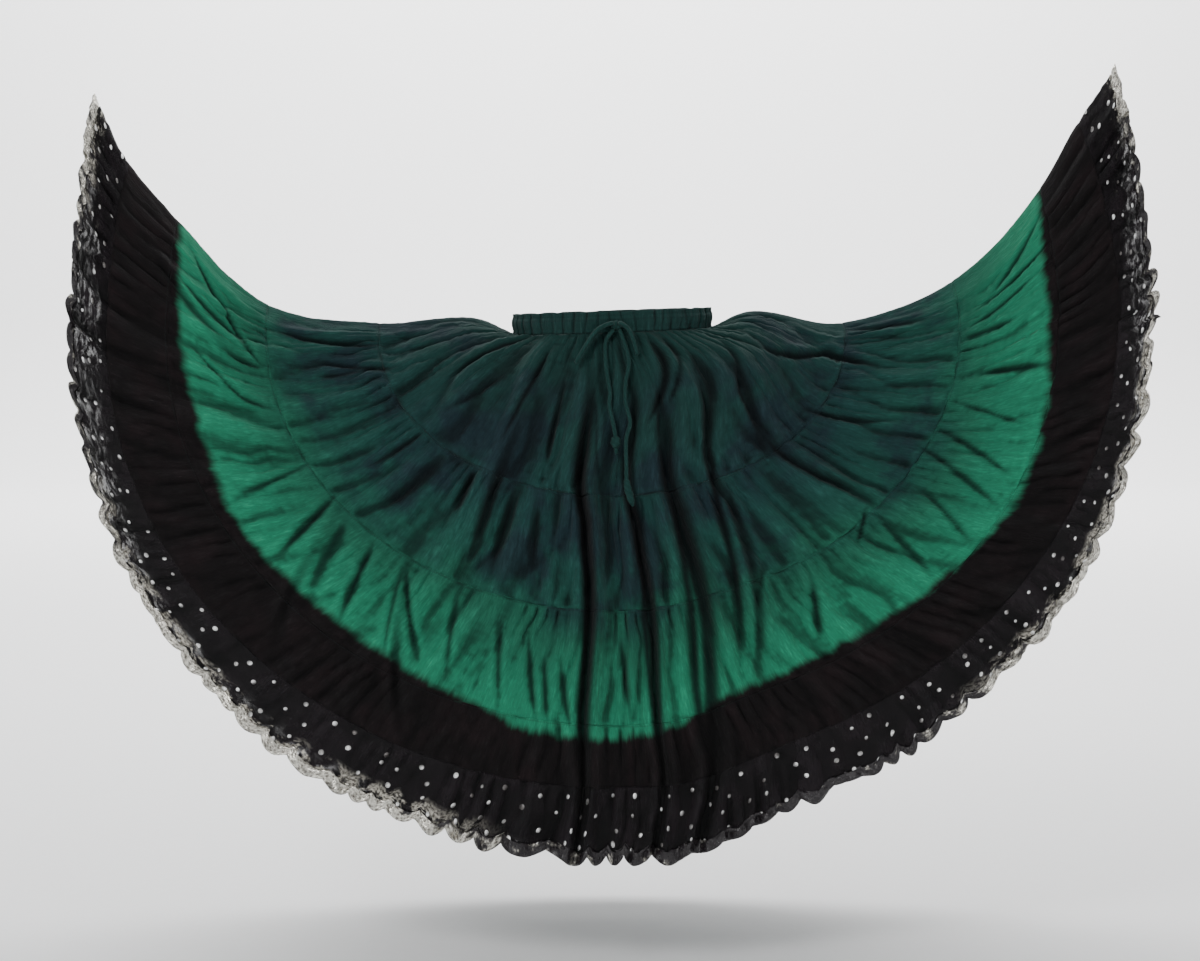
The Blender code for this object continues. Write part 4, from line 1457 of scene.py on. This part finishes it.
@dataclass
class Drawstring:
    """The self-fabric tie: a rolled cord in a bow, with one knotted end and one rolled end."""

    radius: float = 0.0032
    knot_centre: Point = (0.006, -0.1202, -0.005)
    knot_half: Point = (0.0095, 0.0064, 0.0075)
    knot_gap: float = 0.0006
    twist: float = 0.030
    sides: int = 16
    finish: Finish = field(default_factory=lambda: DyedCotton("tie_cotton", seam=-1.0, crinkle=0.6, bump=0.0006))

    def beside_knot(self, direction: Point) -> list[Array]:
        """Two points on the line that leaves the knot squarely.

        Args:
            direction: where on the knot's round it leaves.

        Returns:
            The point just clear of the knot, and one a little farther out.
        """
        facing = unit(np.array(direction))
        half = np.array(self.knot_half)
        normal = unit(facing / half)
        start = np.array(self.knot_centre) + half * facing + normal * self.knot_gap
        return [start, start + normal * 1.2 * self.radius]

    def route(self, strand: Strand, spacing: float) -> Array:
        """Evenly spaced points on a smooth curve through a strand's places.

        Args:
            strand: the strand.
            spacing: metres between points.

        Returns:
            The points.
        """
        back = self.beside_knot(strand.returns)[::-1] if strand.returns else []
        route = np.array([*self.beside_knot(strand.leaves), *strand.places, *back], float)
        chords = np.linalg.norm(np.diff(route, axis=0), axis=1)
        knots = np.concatenate([[0.0], np.cumsum(np.sqrt(chords))])
        tangents = np.gradient(route, knots, axis=0)
        fine = []
        for k in range(len(route) - 1):
            step = knots[k + 1] - knots[k]
            for v in np.linspace(0, 1, 40, endpoint=k == len(route) - 2):
                fine.append(
                    (2 * v**3 - 3 * v**2 + 1) * route[k]
                    + (v**3 - 2 * v**2 + v) * step * tangents[k]
                    + (3 * v**2 - 2 * v**3) * route[k + 1]
                    + (v**3 - v**2) * step * tangents[k + 1]
                )
        line = np.array(fine)
        along = np.concatenate([[0.0], np.cumsum(np.linalg.norm(np.diff(line, axis=0), axis=1))])
        at = np.linspace(0, along[-1], max(4, int(round(along[-1] / spacing)) + 1))
        return np.stack([np.interp(at, along, line[:, i]) for i in range(3)], axis=1)

    def tube(self, name: str, line: Array, radii: Array, folds: float, node_names: Sequence[str]) -> Any:
        """A rolled and twisted tube of cloth along a line, closed at both ends.

        Args:
            name: the piece's name.
            line: the points it follows.
            radii: its radius at each.
            folds: depth of the twisted folds, as a share of the radius.
            node_names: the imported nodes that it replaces.

        Returns:
            The piece.
        """
        tangents = unit(np.gradient(line, axis=0))
        along = np.concatenate([[0.0], np.cumsum(np.linalg.norm(np.diff(line, axis=0), axis=1))])
        side = unit(np.cross(tangents[0], np.array([0.3, 1.0, 0.2])))
        turns = np.arange(self.sides) * 2 * np.pi / self.sides
        rings, reliefs = [], []
        for point, tangent, at, radius in zip(line, tangents, along, radii):
            side = unit(side - tangent * (side @ tangent))
            other = np.cross(tangent, side)
            roll = turns + 2 * np.pi * at / self.twist
            ridge = np.abs(np.sin(1.5 * roll + 0.8 * math.sin(90 * at)))
            scale = 1 + folds * (ridge - 0.62) + 0.05 * np.cos(2 * turns)
            ring = np.cos(turns)[:, None] * side + np.sin(turns)[:, None] * other
            rings.append(point + ring * (radius * scale)[:, None])
            # Relief of the twist: the material paints shade into its grooves and pales its ridges, partly worn and
            # partly painted highlight.
            reliefs.append(np.clip(0.15 + 0.75 * ridge, 0, 1))
        flat = np.stack(
            [
                np.tile(np.linspace(0, 0.02, self.sides + 1), (len(line), 1)),
                np.repeat(along[:, None], self.sides + 1, axis=1),
            ],
            axis=2,
        )
        mesh = grid_mesh(name, np.array(rings), flat)
        bm = bmesh.new()
        bm.from_mesh(mesh)
        bm.verts.ensure_lookup_table()
        last = len(line) * self.sides
        bm.faces.new([bm.verts[i] for i in range(self.sides)][::-1])
        bm.faces.new([bm.verts[i] for i in range(last - self.sides, last)])
        bmesh.ops.recalc_face_normals(bm, faces=bm.faces)
        bm.to_mesh(mesh)
        bm.free()
        point_values(mesh, "relief", np.array(reliefs))
        point_values(mesh, "past_dye", np.full(last, -0.60))
        point_values(mesh, "crease", np.zeros(last))
        return new_piece(name, mesh, self.material, node_names)

    def rounded(self, count: int) -> Array:
        """Radii of a tube whose ends are rounded off, as shares."""
        end = np.minimum(np.arange(count), np.arange(count)[::-1]) / 2.2
        return np.sqrt(np.clip(1 - (1 - np.clip(end, 0.12, 1)) ** 2, 0, 1))

    def build(self) -> list[bpy.types.Object]:
        """Makes the bow.

        Returns:
            Its pieces.
        """
        self.material = self.finish.build()
        pieces = []
        for strand in (LOOP_LEFT, LOOP_RIGHT):
            line = self.route(strand, 0.0022)
            pieces.append(self.tube(strand.name, line, np.full(len(line), self.radius), 0.22, [strand.name]))
        left = self.route(END_LEFT, 0.0022)
        right = self.route(END_RIGHT, 0.0022)
        knot = self.tube(
            "tie_end_knot",
            left[-14:-5] + np.array([0.0, 0.0, 0.0]),
            0.0078 * np.sin(np.linspace(0.35, np.pi - 0.35, 9)) ** 0.5,
            0.30,
            [],
        )
        rolled = self.tube(
            "tie_end_roll", right[-21:-2], 0.0058 * np.sin(np.linspace(0.5, np.pi - 0.5, 19)) ** 0.5, 0.26, []
        )
        for strand, line, far, extra in ((END_LEFT, left, "knot", knot), (END_RIGHT, right, "bare", rolled)):
            radii = self.radius * np.where(np.arange(len(line)) > len(line) - 4, self.rounded(len(line)), 1.0)
            made = self.tube(strand.name, line, radii, 0.20, [strand.name])
            pieces.append(made)
        pieces += [knot, rolled, self.bow_knot()]
        return pieces

    def bow_knot(self) -> bpy.types.Object:
        """The knot at the middle of the bow: a round of cloth with wraps across it.

        Returns:
            The piece.
        """
        rows, cols = 22, 30
        lats = np.linspace(0.06, np.pi - 0.06, rows)
        turns = np.arange(cols) * 2 * np.pi / cols
        points, reliefs = [], []
        for lat in lats:
            wrap = np.abs(np.sin(2.5 * lat + 0.9 * np.sin(turns + 0.5)))
            scale = 0.90 + 0.13 * wrap
            ring = np.stack([np.cos(lat) * np.ones(cols), np.sin(lat) * np.cos(turns), np.sin(lat) * np.sin(turns)], axis=1)
            points.append(np.array(self.knot_centre) + ring * np.array(self.knot_half) * scale[:, None])
            # Relief of the wraps: the material paints shade between them and pales their tops, partly worn and partly
            # painted highlight.
            reliefs.append(0.1 + 0.8 * wrap)
        flat = np.stack(
            [np.tile(np.linspace(0, 0.05, cols + 1), (rows, 1)), np.repeat(lats[:, None] * 0.01, cols + 1, axis=1)],
            axis=2,
        )
        mesh = grid_mesh("drawstring_knot", np.array(points), flat)
        bm = bmesh.new()
        bm.from_mesh(mesh)
        bm.verts.ensure_lookup_table()
        bm.faces.new([bm.verts[i] for i in range(cols)][::-1])
        bm.faces.new([bm.verts[i] for i in range((rows - 1) * cols, rows * cols)])
        bmesh.ops.recalc_face_normals(bm, faces=bm.faces)
        bm.to_mesh(mesh)
        bm.free()
        point_values(mesh, "relief", np.array(reliefs))
        point_values(mesh, "past_dye", np.full(rows * cols, -0.60))
        point_values(mesh, "crease", np.zeros(rows * cols))
        return new_piece("drawstring_knot", mesh, self.material, ["drawstring_knot"])


@dataclass
class Studio:
    """The photograph's camera, a pale cove behind and below, and soft lights."""

    eye: Point = (-0.020, -4.0, 0.05)
    pitch: float = -4.5
    lens: float = 72.3
    floor: float = -1.03

    def camera(self) -> None:
        """Sets the camera that frames the skirt as the photograph does."""
        data = bpy.data.cameras.new("studio_camera")
        data.sensor_fit = "HORIZONTAL"
        data.sensor_width = 36.0
        data.lens = self.lens
        made = bpy.data.objects.new("studio_camera", data)
        bpy.context.scene.collection.objects.link(made)
        made.location = self.eye
        made.rotation_euler = (math.radians(90 + self.pitch), 0.0, 0.0)
        bpy.context.scene.camera = made

    def cove(self) -> None:
        """Lays the pale floor, which curves up into the backdrop."""
        profile = [(-10.0, 0.0), (9.1, 0.0)]
        profile += [(9.1 + 0.9 * math.sin(a), 0.9 - 0.9 * math.cos(a)) for a in np.linspace(0.1, np.pi / 2, 12)]
        profile += [(10.0, 7.0)]
        bm = bmesh.new()
        rows = [[bm.verts.new((x, y, self.floor + z)) for x in (-10.0, 10.0)] for y, z in profile]
        for before, after in zip(rows, rows[1:]):
            bm.faces.new((before[0], before[1], after[1], after[0])).smooth = True
        mesh = bpy.data.meshes.new("studio_cove")
        bm.to_mesh(mesh)
        bm.free()
        made = bpy.data.objects.new("studio_cove", mesh)
        mesh.materials.append(StudioPaper("studio_paper").build())
        bpy.context.scene.collection.objects.link(made)

    def light(self, name: str, place: Point, towards: Point, size: tuple[float, float], power: float) -> None:
        """Hangs a softbox.

        Args:
            name: the light's name.
            place: where it hangs.
            towards: the point it faces.
            size: its width and height.
            power: its power in watts.
        """
        data = bpy.data.lights.new(name, "AREA")
        data.shape = "RECTANGLE"
        data.size, data.size_y = size
        data.energy = power
        made = bpy.data.objects.new(name, data)
        bpy.context.scene.collection.objects.link(made)
        made.location = place
        made.rotation_mode = "QUATERNION"
        made.rotation_quaternion = (Vector(towards) - Vector(place)).to_track_quat("-Z", "Y")

    def lights(self) -> None:
        """Sets the pale surroundings and the softboxes."""
        world = bpy.data.worlds.new("studio_world")
        world.use_nodes = True
        world.node_tree.nodes["Background"].inputs[0].default_value = (0.95, 0.97, 1.0, 1.0)
        world.node_tree.nodes["Background"].inputs[1].default_value = 0.50
        bpy.context.scene.world = world
        self.light("key_softbox", (-1.7, -3.3, 2.1), (0.0, 0.0, -0.35), (1.1, 1.1), 85.0)
        self.light("fill_softbox", (2.6, -3.0, 0.6), (0.1, 0.0, -0.35), (1.5, 1.5), 22.0)
        self.light("backdrop_wash", (0.0, 7.0, 5.0), (0.0, 10.0, 0.6), (9.0, 1.5), 1250.0)
        self.light("floor_wash", (0.0, 2.2, 3.2), (0.0, 2.4, -1.0), (6.0, 1.6), 300.0)


def main() -> None:
    """Builds the scene in order."""
    logging.basicConfig(level=logging.INFO, format="%(message)s")
    studio = Studio()
    studio.camera()
    Drawstring().build()
    Waistband().build()
    strips = (
        ClothRing("tier_1", "teal_cotton", 0.0350, 0.290, 1440, 43, 66, DyedCotton("tier_1_cotton", seam=0.290), seed=11),
        ClothRing(
            "tier_2", "deep_green_cotton", 0.290, 0.485, 1700, 34, 128, DyedCotton("tier_2_cotton", seam=0.290), seed=12
        ),
        ClothRing(
            "tier_3", "green_cotton", 0.485, 0.685, 1900, 36, 200, DyedCotton("tier_3_cotton", seam=0.485), seed=13
        ),
        ClothRing(
            "tier_4",
            "black_cotton",
            0.685,
            0.795,
            1800,
            15,
            235,
            # Black tier: stronger painted shade in the hollows, and paler crests, partly worn and partly painted
            # highlight.
            DyedCotton("tier_4_cotton", seam=0.685, painted_shade=0.7, wear_and_highlight=0.9),
            seed=14,
            scallop=0.0155,
        ),
        ClothRing(
            "hem_ruffle",
            "sheer_black",
            0.795,
            0.8875,
            1800,
            13,
            270,
            SheerNet("ruffle_net"),
            wall=0.0006,
            seed=15,
            loose_foot=True,
            scallop=0.0155,
            crumple=0.0012,
        ),
        ClothRing(
            "hem_ribbon",
            "silver_ribbon",
            0.8865,
            0.906,
            1800,
            7,
            270,
            CrumpledFoil("hem_foil"),
            wall=0.0008,
            seed=15,
            loose_foot=True,
            scallop=0.0155,
            crumple=0.0030,
        ),
    )
    made = {strip.name: strip.build() for strip in strips}
    FoilDots(strips[4]).build(made["hem_ruffle"])
    studio.cove()
    studio.lights()
    LOG.info("sizes written")


if __name__ == "__main__":
    main()
